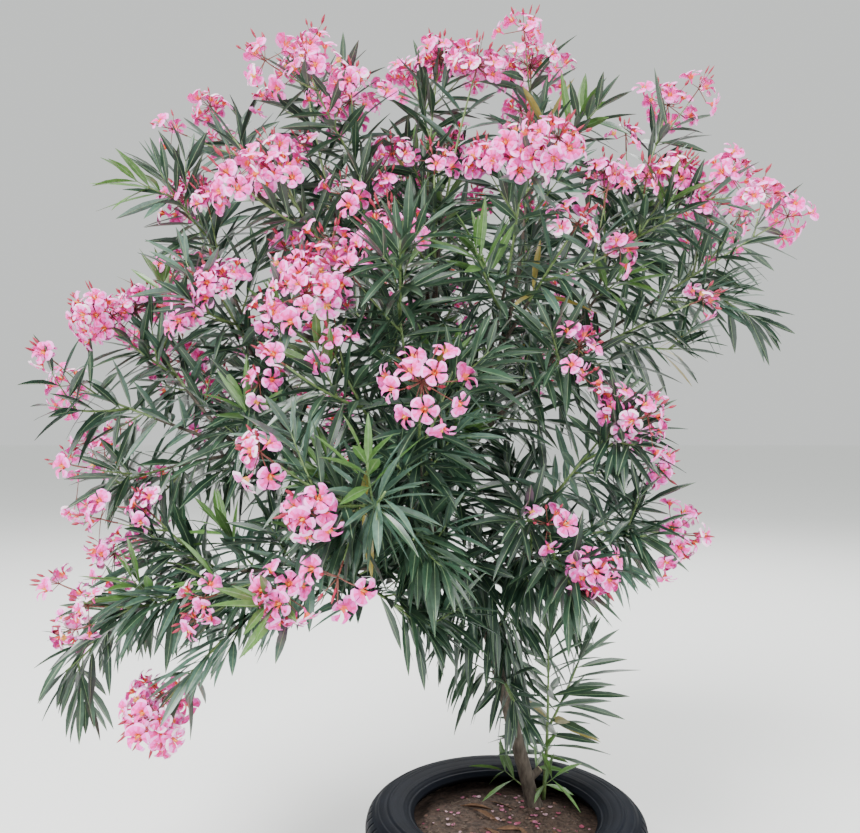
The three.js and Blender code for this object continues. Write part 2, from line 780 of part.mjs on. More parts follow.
function profilePoint([out, up]) {
  return new THREE.Vector2(out, up + TYRE.width / 2);
}

function mirrored(half) {
  return half.map(([out, up]) => [out, -up]);
}

// The tyre's wall is one closed outline: out along the bottom, in over the top, back inside
function tyreProfile() {
  const { outside, inside } = tyreHalves();
  const outline = [
    ...mirrored(outside),
    ...outside.toReversed(),
    ...inside.toReversed(),
    ...mirrored(inside),
  ];
  return [...outline, outline[0]].map(profilePoint);
}

// Soil rests on the ground inside the lower bead, fills the casing and is heaped in the middle
function soilProfile() {
  const { inside } = tyreHalves();
  const casing = mirrored(inside.toReversed()).map(profilePoint);
  const bead = TYRE.beadRadius - SOIL.wallGap;
  const wall = casing.map((point) => point.add(new THREE.Vector2(-SOIL.wallGap, SOIL.wallGap)));
  const rim = wall[wall.length - 1].x;
  const corners = [[0, 0], [bead, 0], [bead, wall[0].y + SOIL.wallGap]];
  const surface = [[rim, SOIL.edge], [SOIL.moundRadius, SOIL.mound], [0, SOIL.mound]];
  const points = (list) => list.map(([out, up]) => new THREE.Vector2(out, up));
  return [...points(corners), ...wall, ...points(surface)];
}

function turned(profile) {
  return new THREE.LatheGeometry(profile, TYRE.sides).rotateX(Math.PI / 2);
}

const plant = new THREE.Group();

function addMesh(name, geometry, { color, roughness }) {
  const material = new THREE.MeshStandardMaterial({ color, roughness, metalness: 0 });
  const mesh = new THREE.Mesh(geometry, material);
  mesh.name = name;
  plant.add(mesh);
}

planTrunk();
planBoughs();
const leaders = planLeaders();

addMesh('tyre', bare(turned(tyreProfile())), FINISH.rubber);
addMesh('soil', bare(turned(soilProfile())), FINISH.soil);
addMesh('trunk', largestShell(solidOf(limbTube('trunk')).add(solidOf(stubTube()))), FINISH.bark);

// Each bough is cut a hair clear of the trunk and of the boughs made before it
const limbCutters = [solidOf(limbTube('trunk', 2 * GAP))];
for (const name of Object.keys(BOUGHS)) {
  const bough = cutClear(solidOf(limbTube(name)), limbCutters);
  addMesh(`bough_${name}`, largestShell(bough), FINISH.bark);
  limbCutters.push(solidOf(limbTube(name, 1.2 * GAP)));
}

// Each mass is cut a hair clear of the limbs and of the leading twigs that share its bough
for (const leader of leaders) {
  const earlier = leaders.slice(0, leaders.indexOf(leader));
  const twigCutters = earlier.filter((other) => other.from === leader.from).map(leaderCutter);
  const mass = massSolid(leader, [...limbCutters, ...twigCutters]);
  addMesh(`mass_${leader.name}`, largestShell(mass), FINISH.foliage);
}

export default plant;
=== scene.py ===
import json
import math
from collections import namedtuple

import bpy
import numpy as np
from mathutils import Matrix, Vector, noise

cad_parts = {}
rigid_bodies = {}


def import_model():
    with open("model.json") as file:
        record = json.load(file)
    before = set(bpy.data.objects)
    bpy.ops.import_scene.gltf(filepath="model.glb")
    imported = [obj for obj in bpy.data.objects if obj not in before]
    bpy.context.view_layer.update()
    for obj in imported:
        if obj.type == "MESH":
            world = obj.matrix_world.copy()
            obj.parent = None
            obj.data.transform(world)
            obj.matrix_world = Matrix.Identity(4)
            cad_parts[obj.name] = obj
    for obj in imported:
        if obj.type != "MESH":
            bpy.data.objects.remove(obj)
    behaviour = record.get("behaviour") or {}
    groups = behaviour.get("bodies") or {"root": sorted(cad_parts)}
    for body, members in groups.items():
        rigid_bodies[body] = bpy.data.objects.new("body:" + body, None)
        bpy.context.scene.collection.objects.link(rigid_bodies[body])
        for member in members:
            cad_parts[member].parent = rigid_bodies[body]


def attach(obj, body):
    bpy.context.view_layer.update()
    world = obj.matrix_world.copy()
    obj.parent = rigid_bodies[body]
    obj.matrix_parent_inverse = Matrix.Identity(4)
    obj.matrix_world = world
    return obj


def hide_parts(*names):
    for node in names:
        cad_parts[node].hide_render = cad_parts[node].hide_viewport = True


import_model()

# A pink oleander with one leaning stem and an open crown, growing in a car tyre of soil.
# Lengths in the growth and shape code are millimetres and angles are degrees. Meshes and
# the settings in the panel are in metres.

bl_info = {
    "name": "Potted Oleander",
    "version": (1, 0, 0),
    "blender": (4, 5, 0),
    "location": "View3D > Sidebar > Oleander",
    "description": "Grows a flowering oleander in a car tyre filled with soil",
    "category": "Add Mesh",
}

MM = 0.001
UP = np.array([0.0, 0.0, 1.0])
GOLDEN_ANGLE = 137.5

# The tyre lies flat; soil fills it and is heaped in the middle
TYRE = {"outer": 316, "bead": 206, "width": 205, "wall": 11, "crown": 14}
SOIL = {"mound": 150, "level_to": 156, "edge": 132, "slope": 130, "sunk": 2.5}

# The stem leans left and bends over below its fork, and a pruned stub stands low on it
TRUNK = {"way": [(80, 112, 150.3), (6, 64, 430), (-52, 30, 625), (-145, 0, 755)],
         "flare_radius": 23, "flare_height": 45, "foot_radius": 17.5, "fork_radius": 13}
STEM_FOOT = TRUNK["way"][0]
FORK = TRUNK["way"][-1]
STUB = {"share": 0.1, "turn": 10, "lift": 40, "length": 42, "foot": 10, "end": 8.5}
FORK_SPACING = 34
LIMB_AIM = 0.7

# A bough's parent, the turn and distance of its end about the fork, its height above the
# ground, and its radii. Boughs and masses leave their parent one spacing after another, or at a
# set distance before its end.
Bough = namedtuple("Bough", "parent turn out height foot tip before", defaults=(None,))
BOUGHS = {
    "main_up": Bough("trunk", 40, 35, 1055, 12, 10),
    "left": Bough("trunk", 194, 320, 960, 10.5, 8),
    "low_left": Bough("trunk", 208, 390, 750, 9, 6.2),
    "front": Bough("trunk", 256, 175, 870, 9, 7),
    "low_right": Bough("trunk", 340, 175, 800, 8.5, 7, before=140),
    "up_mid": Bough("main_up", 120, 60, 1340, 9, 7),
    "up_left": Bough("main_up", 180, 150, 1285, 9, 7),
    "up_right": Bough("main_up", 354, 150, 1265, 9, 7),
    "back": Bough("main_up", 92, 165, 1130, 8.5, 7),
    "right": Bough("main_up", 2, 290, 1220, 9, 7, before=140),
    "left_out": Bough("left", 183, 490, 1020, 7.5, 6.3),
    "left_up": Bough("left", 190, 390, 1160, 7.5, 6.3),
}

# The masses on each bough: the turn and distance of a mass's tip about the fork, its height
# above the ground, how many of its twigs bloom, the open flowers in its leading cluster, the
# most side twigs, and the set distance before the bough's end
Mass = namedtuple("Mass", "bough turn out height blooms flowers sides before",
                  defaults=(3, None))
MASSES_ON = {
    "up_mid": {
        "top": (100, 40, 1910, 3, 16), "top_front": (330, 85, 1850, 4, 17),
        "back_top": (88, 260, 1790, 3, 9), "centre_high": (262, 110, 1610, 1, 4)},
    "up_left": {
        "top_left": (171, 330, 1915, 3, 10), "upper_left": (170, 555, 1825, 3, 8),
        "upper_mid": (199, 215, 1755, 2, 15), "left_up": (210, 385, 1560, 2, 14),
        "back_left_top": (132, 470, 1640, 3, 6)},
    "up_right": {
        "top_right": (0, 210, 1870, 1, 18), "back_right_top": (52, 400, 1660, 3, 9),
        "mid_right": (318, 350, 1445, 3, 7), "mid_upper": (303, 300, 1580, 1, 32)},
    "right": {
        "right_tip": (3, 800, 1545, 2, 10, 2), "right_upper": (7, 545, 1810, 1, 10, 1),
        "right_low": (352, 555, 1330, 1, 4), "right": (348, 510, 1585, 3, 16),
        "right_inner": (326, 330, 1215, 1, 4)},
    "left_up": {
        "left_upper_outer": (185, 560, 1555, 1, 14), "left_mid": (203, 500, 1330, 1, 18),
        "left_mid_up": (228, 415, 1340, 2, 14)},
    "left_out": {
        "left_tip": (184, 800, 1140, 1, 8), "left_shoulder": (178, 700, 1310, 4, 23),
        "left_low_tip": (180, 810, 905, 3, 7), "left_inner": (222, 480, 1130, 1, 4),
        "back_left": (148, 560, 1150, 4, 9)},
    "low_left": {
        "low_left_tip": (188, 770, 635, 2, 6), "low_left_upper": (186, 700, 775, 3, 12),
        "low_left_foot": (205, 600, 515, 4, 23), "low_left_mid": (218, 540, 740, 2, 4),
        "low_front": (235, 500, 765, 1, 11), "front_low": (262, 285, 685, 0, 0)},
    "front": {
        "front_left": (248, 560, 915, 2, 9), "centre_front": (265, 470, 1110, 1, 11),
        "centre_low": (262, 400, 850, 0, 0), "centre_left": (240, 410, 1190, 2, 4),
        "centre_left_up": (252, 320, 1400, 1, 15)},
    "low_right": {
        "low_right_tip": (342, 480, 835, 1, 13), "right_front": (336, 390, 1060, 1, 18),
        "low_right": (312, 400, 790, 1, 11)},
    "back": {
        "back_mid": (100, 440, 1380, 3, 9), "back_right": (50, 480, 1270, 3, 9),
        "back_low": (118, 420, 1010, 3, 8)},
    "trunk": {"trunk_shoot": (325, 190, 470, 0, 0, 1, 330)},
}
MASSES = {name: Mass(bough, *row) for bough, rows in MASSES_ON.items()
          for name, row in rows.items()}
# The shoot beside the stem's foot
BASAL = {"foot": (108, 146, 150.3), "bow": (12, 6, 0), "tip": (122, 160, 560), "sides": 1,
         "seed": 977}

# The boughs whose leaves and flowers make each region. The rest belong to the lower one.
REGIONS = {
    "upper": ("up_mid", "up_left", "up_right", "back"),
    "left": ("left_up", "left_out", "low_left"),
    "lower": ("front", "low_right", "right", "trunk"),
}

# Leading and side twigs, by the same rule as the solids
TWIG = {"foot": 5.2, "tip": 3.2, "aim": 0.75, "first_side": 0.34, "last_side": 0.9,
        "side_spacing": 150, "most_sides": 3, "side_share": 0.42, "least_side": 110,
        "most_side": 180, "side_girth": 0.9, "spread": 42, "rise": 0.2}
# Finer sprigs between them, which bloom only in the outer part of a blooming twig
SPRIG = {"last": 0.95, "first_on_side": 0.25, "spread": (38, 56), "on_leader": (80, 150),
         "on_side": (60, 110), "rise": 0.12, "foot": 2.6, "tip": 1.7, "bloom_from": 0.5}
# The faces round and along leading twigs and finer ones, the trunk, a bough, the stub and a
# flower's stalk
TUBE_MESH = {"leader": (6, 10), "fine": (5, 5), "trunk": (20, 60), "bough": (14, 24),
             "stub": (14, 8), "stalk": (4, 3)}
# The space that the plant keeps to, and how far its twigs stay from what is round them
REACH = {"low": np.array([-1008, -605, 0]), "high": np.array([718, 576, 1998])}
CLEAR = {"mass": 9, "limb": 5, "pot": 12, "soil": 12}
# The edge below the low boughs, as places from left to right and their heights
CROWN_EDGE = ((-640, 540), (-480, 600), (-380, 680), (-225, 690))
CROWN_MIDDLE = np.array([FORK[0], FORK[1], 1150.0])

# How far the leaves droop, which is most on the low boughs
DROOP = {"low": 0.36, "high": 0.04, "low_height": 550, "high_height": 1500}
# Foliage is airy at the top and stands closer on the lowest boughs. Gaps between whorls and
# between sprigs are shares of the wanted ones. Sprigs begin at a share of their twig, and some
# of the outer ones bloom.
HABITS = {
    "airy": {"gap": 1.2, "sprig_gap": 1.1, "first": 0.3, "bloom": 0.8},
    "open": {"gap": 1, "sprig_gap": 1, "first": 0.3, "bloom": 0.8},
    "close": {"gap": 0.8, "sprig_gap": 0.75, "first": 0.1, "bloom": 0.3},
}
BOUGH_HABITS = {"up_mid": "airy", "up_left": "airy", "low_left": "close", "front": "close",
                "low_right": "close"}
# The shoot at the foot is large and close-leaved, and the one on the trunk small and dark
LOW_SHOOTS = {
    "basal_shoot": {"size": 1.2, "gap": 0.85, "droop": 0.12, "roll": 85, "tint": "mature"},
    "trunk_shoot": {"size": 0.9, "gap": 1.2, "droop": 0.3, "roll": 60, "tint": "dark"},
}
# Whorls begin below a twig's end. With the distance from it their leaves spread, droop and
# grow to full size. The first whorls of some upright twigs are young, and a few are yellow.
WHORL = {"below_bloom": 80, "below_bud": 5, "turn": 60, "spread": (20, 66), "old_at": 200,
         "old_droop": 0.14, "first_size": 0.62, "size_gain": 110, "young": 0.2, "upright": 0.3,
         "young_whorls": 3, "young_droop": 0.3, "yellow": 0.006}
# A leader, a side twig and a sprig are leafy over these shares of their length
LEAFY = (0.8, 0.92, 0.96)
# How leaves vary in roll and twist, sag and fold, width and droop
LEAF = {"roll": 48, "twist": (-40, 40), "sag": (0.04, 0.16), "sag_by_droop": 0.16,
        "fold": (0.15, 0.5), "width": (0.85, 1.1), "droop": (0.6, 1.3)}

# Open flowers are life size. They look outward and a little up, more or less askew, and their
# stalk meets them behind their middle.
FLOWER = {"radius": 26.5, "sizes": (0.84, 1.06), "cup": (0.7, 1.5), "outward": 0.35,
          "upward": 0.12, "askew": (-0.4, 0.4), "back": 0.82}
# A cluster's heart lies beyond its twig's end. Its dome grows with the flowers, opens to an
# angle, is flattened, stretched to one side and hangs a little. A leader, a side twig and a
# sprig bear these shares of a mass's flowers.
CLUSTER = {"rise": 30, "outward": 0.5, "radius": 25, "growth": 11, "loose": (0.9, 1.38),
           "open": 105, "jitter": (-12, 12), "out": (0.55, 1.12), "flat": 0.3,
           "stretch": (-0.3, 0.3), "hang": 0.12, "shares": (1.0, 0.62, 0.32)}
BUDS = {"fewest": 3, "length": (12, 25), "girth": (2.1, 3.8), "spread": (5, 70),
        "out": (0.45, 0.8), "lean": 0.5}
# Stalks taper, bow out and hang a little. A cluster's main stalk begins inside its twig.
STALK = {"flower": 1.15, "bud": 0.9, "main": 1.9, "taper": 0.75, "bow": 4, "hang": 2,
         "inside": 6}

# A leafy shoot straight from a limb: the share along the limb, the turn about it, the shoot's
# spread and length, how far its leaves droop, their tint, and the limb. Those on the trunk are
# placed one by one.
Shoot = namedtuple("Shoot", "share turn spread length droop tint limb", defaults=("trunk",))
SHOOTS = {"high_spacing": 62, "spacing": 36, "from": 0.12, "spread": (45, 65),
          "length": (90, 170), "rise": 0.1, "foot": 2.4, "tip": 1.6, "more_droop": (0.05, 0.35),
          "dark": 0.7, "leaf_spread": (35, 70), "leaf_size": (0.85, 1.2), "young_size": 0.6}
TRUNK_SHOOTS = [Shoot(*row) for row in (
    (0.97, 230, 55, 130, 1.0, "dark"), (0.94, 310, 50, 130, 1.1, "dark"),
    (0.91, 180, 55, 120, 1.1, "dark"), (0.88, 270, 55, 130, 1.2, "dark"),
    (0.84, 20, 60, 120, 1.2, "dark"), (0.80, 60, 60, 110, 1.3, "mature"),
    (0.76, 220, 60, 110, 1.4, "dark"), (0.82, 345, 45, 90, 1.5, "dark"),
    (0.75, 30, 45, 90, 1.5, "dark"), (0.71, 280, 60, 100, 1.4, "dark"),
    (0.69, 5, 45, 90, 1.5, "dark"), (0.63, 40, 45, 80, 1.5, "mature"),
    (0.57, 15, 45, 80, 1.5, "dark"), (0.50, 60, 45, 80, 1.4, "dark"),
    (0.66, 75, 60, 100, 1.4, "dark"), (0.60, 95, 60, 90, 1.5, "dark"),
    (0.52, 225, 60, 80, 1.3, "mature"), (0.46, 190, 60, 60, 1.2, "dark"),
    (0.06, 200, 60, 70, 0.1, "young"), (0.05, 20, 60, 80, 0.1, "young"),
    (0.08, 100, 60, 70, 0.1, "young"))]


# Colours and finishes

def linear(hex_colour):
    """An sRGB hex value as a linear colour with alpha"""
    channels = [(hex_colour >> shift & 255) / 255 for shift in (16, 8, 0)]
    return tuple(c / 12.92 if c <= 0.04045 else ((c + 0.055) / 1.055) ** 2.4
                 for c in channels) + (1.0,)


def add_node(tree, kind, inputs=None, **settings):
    """Adds one node, sets its settings, and links or sets its inputs"""
    node = tree.nodes.new(kind)
    for name, value in settings.items():
        setattr(node, name, value)
    for socket, value in (inputs or {}).items():
        if isinstance(value, bpy.types.NodeSocket):
            tree.links.new(value, node.inputs[socket])
        else:
            node.inputs[socket].default_value = value
    return node


def new_material(name, roughness, **sockets):
    """A material with its shader, whose plain values are set on the shader's own sockets"""
    material = bpy.data.materials.new(name)
    material.use_nodes = True
    shader = material.node_tree.nodes["Principled BSDF"]
    shader.inputs["Roughness"].default_value = roughness
    for socket, value in sockets.items():
        shader.inputs[socket.replace("_", " ")].default_value = value
    return material, material.node_tree, shader


def mottled(name, low, high, grain_mm, roughness, relief_mm=0.0, stretch=(1, 1, 1), **sockets):
    """A surface mottled between two colours at the size of its grain, with a shallow relief"""
    material, tree, shader = new_material(name, roughness, **sockets)
    place = add_node(tree, "ShaderNodeTexCoord")
    scaled = add_node(tree, "ShaderNodeMapping", {0: place.outputs["Object"], "Scale": stretch})
    grain = add_node(tree, "ShaderNodeTexNoise",
                     {"Vector": scaled.outputs[0], "Scale": 1 / (grain_mm * MM), "Detail": 3.0})
    tint = add_node(tree, "ShaderNodeValToRGB", {"Fac": grain.outputs["Fac"]})
    for stop, position, colour in zip(tint.color_ramp.elements, (0.32, 0.68), (low, high)):
        stop.position = position
        stop.color = linear(colour)
    tree.links.new(tint.outputs["Color"], shader.inputs["Base Color"])
    if relief_mm:
        bump = add_node(tree, "ShaderNodeBump", {"Height": grain.outputs["Fac"],
                                                 "Distance": relief_mm * MM, "Strength": 1.0})
        tree.links.new(bump.outputs["Normal"], shader.inputs["Normal"])
    return material


LEAF_COLOURS = {
    "mature": (0x27402F, 0x35523D),
    "dark": (0x1A3125, 0x253F30),
    # The grey tint is a greyer green painted lighter, as a painted sheen on whole sprays
    "grey": (0x3F5A4C, 0x527061),
    "young": (0x456B30, 0x5B823F),
    "yellow": (0x93853A, 0xAC9C50),
}
LEAF_TINTS = list(LEAF_COLOURS)
RIB = len(LEAF_TINTS)


def leaf_finishes(roughness):
    """Oleander leaves: leathery and waxed, so dark green with a soft bluish sheen. The grey tint
    is a greyer green painted lighter, a painted sheen.
    """
    finishes = [mottled(f"leaf_{tint}", low, high, 9, roughness, 0.15, Coat_Weight=0.4,
                        Coat_Roughness=0.3)
                for tint, (low, high) in LEAF_COLOURS.items()]
    # The midrib is a pale raised cord along each leaf
    return [*finishes, mottled("leaf_midrib", 0x6F8A62, 0x8BA37A, 6, 0.5)]


# The petal finishes, in the order of their list
EDGE, MIDDLE, DEEP, THROAT, FADED, HEART = range(6)


def petal_finishes():
    """Thin matt petals: pale at the edge, pink in the middle, red in the throat"""
    return [
        mottled("petal_edge", 0xFF8AE2, 0xFFA9EE, 5, 0.65, Sheen_Weight=0.15),
        mottled("petal_middle", 0xFF4CC6, 0xFF67D4, 5, 0.65, Sheen_Weight=0.15),
        mottled("petal_deep", 0xEC2494, 0xF840AC, 4, 0.6, Sheen_Weight=0.1),
        mottled("petal_throat", 0xE0353F, 0xF0703A, 3, 0.6),
        mottled("petal_faded", 0xFFCDEB, 0xFFE6F6, 5, 0.7, Sheen_Weight=0.15),
        mottled("petal_heart", 0xF0A548, 0xF5C062, 3, 0.6),
    ]


# The stem finishes, in the order of their list
BARK, YOUNG_STEM, CUT_WOOD = range(3)


def stem_finishes():
    """Woody bark is grey-brown and matt, young stems are green and smooth, cut wood is pale"""
    return [
        mottled("oleander_bark", 0x373029, 0x5F564C, 7, 0.85, 0.5, (1, 1, 0.25)),
        mottled("oleander_young_stem", 0x56703F, 0x7A9158, 8, 0.5),
        mottled("oleander_cut_wood", 0x8C7A60, 0xB5A383, 3, 0.8, 0.2),
    ]


# Repeatable chance, directions and smooth lines

def seeded(seed):
    """A repeatable stream of numbers between 0 and 1"""
    mask = 0xFFFFFFFF
    state = seed & mask

    def chance():
        nonlocal state
        state = (state + 0x6D2B79F5) & mask
        mixed = ((state ^ (state >> 15)) * (state | 1)) & mask
        mixed ^= (mixed + ((mixed ^ (mixed >> 7)) * (mixed | 61) & mask)) & mask
        return ((mixed ^ (mixed >> 14)) & mask) / 4294967296

    return chance


def mix(a, b, share):
    return a + (b - a) * share


def tapering(foot, tip):
    return lambda share: mix(foot, tip, share)


def unit(vector):
    return vector / np.linalg.norm(vector)


def across(a, b):
    """The cross product of two directions"""
    return np.array([a[1] * b[2] - a[2] * b[1], a[2] * b[0] - a[0] * b[2],
                     a[0] * b[1] - a[1] * b[0]])


def about_axis(out, angle, height=0.0):
    """The point at a distance and an angle in radians about the upright axis"""
    return np.array([out * math.cos(angle), out * math.sin(angle), height])


def square_to(axis):
    """Two directions square to an axis, the first of them level"""
    level = across(UP, axis)
    if np.linalg.norm(level) < 0.05:
        level = np.array([1.0, 0.0, 0.0]) - axis * axis[0]
    level = unit(level)
    return level, across(axis, level)


def splayed(axis, spread, turn):
    """The direction that leaves an axis at a spread, on the side given by a turn about it"""
    level, rising = square_to(axis)
    spread, turn = math.radians(spread), math.radians(turn)
    side = level * math.cos(turn) + rising * math.sin(turn)
    return unit(axis * math.cos(spread) + side * math.sin(spread))


class Path:
    """A smooth line, read by its share of length"""

    def __init__(self, points):
        self.points = np.asarray(points, float)
        steps = np.linalg.norm(np.diff(self.points, axis=0), axis=1)
        self.marks = np.concatenate(([0.0], np.cumsum(steps)))
        self.length = self.marks[-1]

    def at(self, share):
        place = min(max(share, 0.0), 1.0) * self.length
        return np.array([np.interp(place, self.marks, column) for column in self.points.T])

    def tangent(self, share):
        low, high = max(share - 0.02, 0.0), min(share + 0.02, 1.0)
        return unit(self.at(high) - self.at(low))

    def spaced(self, count):
        return np.array([self.at(index / count) for index in range(count + 1)])


def bezier(start, bend, end, count=24):
    shares = np.linspace(0, 1, count + 1)[:, None]
    rest = 1 - shares
    return Path(rest**2 * start + 2 * rest * shares * bend + shares**2 * end)


def centripetal(way, count=20):
    """A smooth line through points, spaced by the square roots of their distances"""
    way = [np.array(point, float) for point in way]
    ends = [2 * way[0] - way[1], *way, 2 * way[-1] - way[-2]]
    points = []
    for before, start, end, after in zip(ends, ends[1:], ends[2:], ends[3:]):
        gaps = [np.linalg.norm(b - a) ** 0.5
                for a, b in ((before, start), (start, end), (end, after))]
        first = ((start - before) / gaps[0] - (end - before) / (gaps[0] + gaps[1])
                 + (end - start) / gaps[1]) * gaps[1]
        second = ((end - start) / gaps[1] - (after - start) / (gaps[1] + gaps[2])
                  + (after - end) / gaps[2]) * gaps[1]
        for t in np.linspace(0, 1, count, endpoint=False):
            points.append(start + first * t + (3 * (end - start) - 2 * first - second) * t**2
                          + (2 * (start - end) + first + second) * t**3)
    return Path([*points, way[-1]])


# The growth rule: limbs, leading twigs, side twigs and sprigs

class Limb:
    """A trunk or bough with its girth, which keeps count of what leaves it"""

    def __init__(self, path, radius_at):
        self.path = path
        self.radius_at = radius_at
        self.carried = 0

    def leave(self, before):
        """The place and direction of the next limb or mass that leaves this one"""
        set_back = before
        if before is None:
            set_back = self.carried * FORK_SPACING
            self.carried += 1
        share = 1 - set_back / self.path.length
        return self.path.at(share), self.path.tangent(share)


# A twig's line and girths, the mass it belongs to, and the seed of what grows on it. Leaders
# are of order 0, side twigs 1 and the finest twigs 2.
Twig = namedtuple("Twig", "path foot tip mass seed blooming order", defaults=(False, 0))


def about_fork(tip):
    """The end of a bough or mass"""
    return np.array([*FORK[:2], 0.0]) + about_axis(tip.out, math.radians(tip.turn), tip.height)


def limb_curve(place, tip, own_aim):
    """A curve that leaves its parent partly the parent's way and bends to its own tip"""
    start, direction = place
    reach = np.linalg.norm(tip - start)
    aim = unit(mix(direction, unit(tip - start), own_aim))
    return bezier(start, start + aim * reach / 2, tip)


def trunk_radius(length):
    def radius_at(share):
        flare = max(0.0, 1 - share * length / TRUNK["flare_height"])
        swelling = (TRUNK["flare_radius"] - TRUNK["foot_radius"]) * flare**2
        return mix(TRUNK["foot_radius"], TRUNK["fork_radius"], share) + swelling

    return radius_at


def plan_limbs():
    way = centripetal(TRUNK["way"])
    limbs = {"trunk": Limb(way, trunk_radius(way.length))}
    for name, bough in BOUGHS.items():
        place = limbs[bough.parent].leave(bough.before)
        limbs[name] = Limb(limb_curve(place, about_fork(bough), LIMB_AIM),
                           tapering(bough.foot, bough.tip))
    return limbs


def plan_leaders(limbs):
    """The leading twig of each mass, and the shoot beside the stem's foot"""
    leaders = []
    for index, (name, mass) in enumerate(MASSES.items()):
        place = limbs[mass.bough].leave(mass.before)
        path = limb_curve(place, about_fork(mass), TWIG["aim"])
        leaders.append(Twig(path, TWIG["foot"], TWIG["tip"], name, 101 + 37 * index,
                            mass.blooms > 0))
    foot, tip = np.array(BASAL["foot"], float), np.array(BASAL["tip"], float)
    path = bezier(foot, (foot + tip) / 2 + np.array(BASAL["bow"]), tip)
    return [*leaders, Twig(path, TWIG["foot"], TWIG["tip"], "basal_shoot", BASAL["seed"])]


def distances(point, starts, ends):
    """The distance from a point to each of many straight pieces"""
    along = ends - starts
    share = ((point - starts) * along).sum(1) / (along * along).sum(1)
    share = np.clip(share, 0, 1)
    return np.linalg.norm(starts + along * share[:, None] - point, axis=1)


def straight_pieces(items, count):
    """The starts and ends of the straight pieces along the paths of limbs or twigs"""
    lines = [item.path.spaced(count) for item in items]
    return (np.concatenate([line[:-1] for line in lines]),
            np.concatenate([line[1:] for line in lines]))


class Space:
    """Tells whether a point lies in a mass's own space, clear of limbs and pot"""

    def __init__(self, limbs, leaders, leader_pieces=8, limb_pieces=12):
        self.leaders = straight_pieces(leaders, leader_pieces)
        self.owners = np.repeat([leader.mass for leader in leaders], leader_pieces)
        self.limbs = straight_pieces(limbs.values(), limb_pieces)
        self.radii = np.array([limb.radius_at(piece / limb_pieces) for limb in limbs.values()
                               for piece in range(limb_pieces)])

    def own(self, point, mass, room):
        away = distances(point, *self.leaders)
        mine = self.owners == mass
        return away[~mine].min() > away[mine].min() + room

    def clear_of_limbs(self, point):
        return (distances(point, *self.limbs) > self.radii + CLEAR["limb"]).all()

    def fits(self, points, mass, room=CLEAR["mass"]):
        return all(in_reach(point) and clear_of_pot(point) and self.clear_of_limbs(point)
                   and self.own(point, mass, room) for point in points)


def above_edge(point):
    """Above the crown's lower edge, which hangs lowest on the left"""
    places, heights = zip(*CROWN_EDGE)
    below_crown = places[0] < point[0] < places[-1]
    return not below_crown or point[2] > np.interp(point[0], places, heights)


def in_reach(point):
    return (point > REACH["low"]).all() and (point < REACH["high"]).all()


def clear_of_pot(point):
    """Clear of the ring of the tyre, and above the soil inside it"""
    out = math.hypot(point[0], point[1])
    if point[2] > TYRE["width"] + CLEAR["pot"] or out > TYRE["outer"] + CLEAR["pot"]:
        return True
    return out < TYRE["bead"] - CLEAR["pot"] and point[2] > SOIL["mound"] + CLEAR["soil"]


def side_twig(parent, share, turn, spread, length, rise):
    start = parent.path.at(share)
    direction = splayed(parent.path.tangent(share), spread, turn)
    tip = start + direction * length + UP * length * rise
    return bezier(start, start + direction * length / 2, tip, 10)


def side_twigs(leader, space):
    """Side twigs one golden angle after another, by the rule of the solids. The highest bloom."""
    wanted = math.floor(leader.path.length / TWIG["side_spacing"] + 0.5)
    count = min(max(wanted, 2), TWIG["most_sides"])
    mass = MASSES.get(leader.mass)
    blooms, most = (mass.blooms, mass.sides) if mass else (0, BASAL["sides"])
    twigs = []
    for index in range(count):
        seed = leader.seed * 16 + index
        chance = seeded(seed)
        share = mix(TWIG["first_side"], TWIG["last_side"], (index + 0.6 * chance()) / count)
        turn = index * GOLDEN_ANGLE + leader.seed + 40 * chance()
        spread = TWIG["spread"] * mix(0.85, 1.2, chance())
        wish = leader.path.length * TWIG["side_share"] * mix(0.8, 1.15, chance())
        length = min(max(wish, TWIG["least_side"]), TWIG["most_side"])
        path = side_twig(leader, share, turn, spread, length, TWIG["rise"])
        if len(twigs) < most and space.fits(path.spaced(5)[2:], leader.mass):
            girth = TWIG["side_girth"] * mix(TWIG["foot"], TWIG["tip"], share)
            twigs.append(Twig(path, girth, TWIG["tip"], leader.mass, seed, order=1))
    highest = sorted(twigs, key=lambda twig: -twig.path.at(1)[2])
    blooming = {twig.seed for twig in highest[:max(blooms - 1, 0)]}
    return [twig._replace(blooming=twig.seed in blooming) for twig in twigs]


def sprigs(parent, space, spacing, first, bloom, lengths):
    """Finer twigs between the side twigs, up to the end of their parent"""
    grown = []
    count = int(parent.path.length * (SPRIG["last"] - first) / spacing)
    for index in range(count):
        seed = parent.seed * 32 + 7 * index + 5
        chance = seeded(seed)
        share = mix(first, SPRIG["last"], (index + 0.8 * chance()) / count)
        turn = index * GOLDEN_ANGLE + 70 + 60 * chance()
        spread = mix(*SPRIG["spread"], chance())
        length = mix(*lengths, chance())
        path = side_twig(parent, share, turn, spread, length, SPRIG["rise"])
        if above_edge(path.at(1)) and space.fits(path.spaced(4)[2:], parent.mass, 0):
            outer = parent.blooming and share > SPRIG["bloom_from"]
            blooming = outer and chance() < bloom
            if blooming or not outer:
                grown.append(Twig(path, SPRIG["foot"], SPRIG["tip"], parent.mass, seed,
                                  blooming, 2))
    return grown


# Leaves, flowers, buds and stalks, first as lists of places and directions

Leaf = namedtuple("Leaf", "root axis side length width sag fold twist tint")
Flower = namedtuple("Flower", "centre facing roll radius cup tint")
Bud = namedtuple("Bud", "foot axis length girth")
Stalk = namedtuple("Stalk", "path foot tip")

# What the panel sets: a leaf's size, the gaps between whorls and sprigs, and the clusters'
# fullness
Settings = namedtuple("Settings", "length width spacing sprigs fullness")


def droop_at(height):
    share = (height - DROOP["low_height"]) / (DROOP["high_height"] - DROOP["low_height"])
    return mix(DROOP["low"], DROOP["high"], min(max(share, 0.0), 1.0))


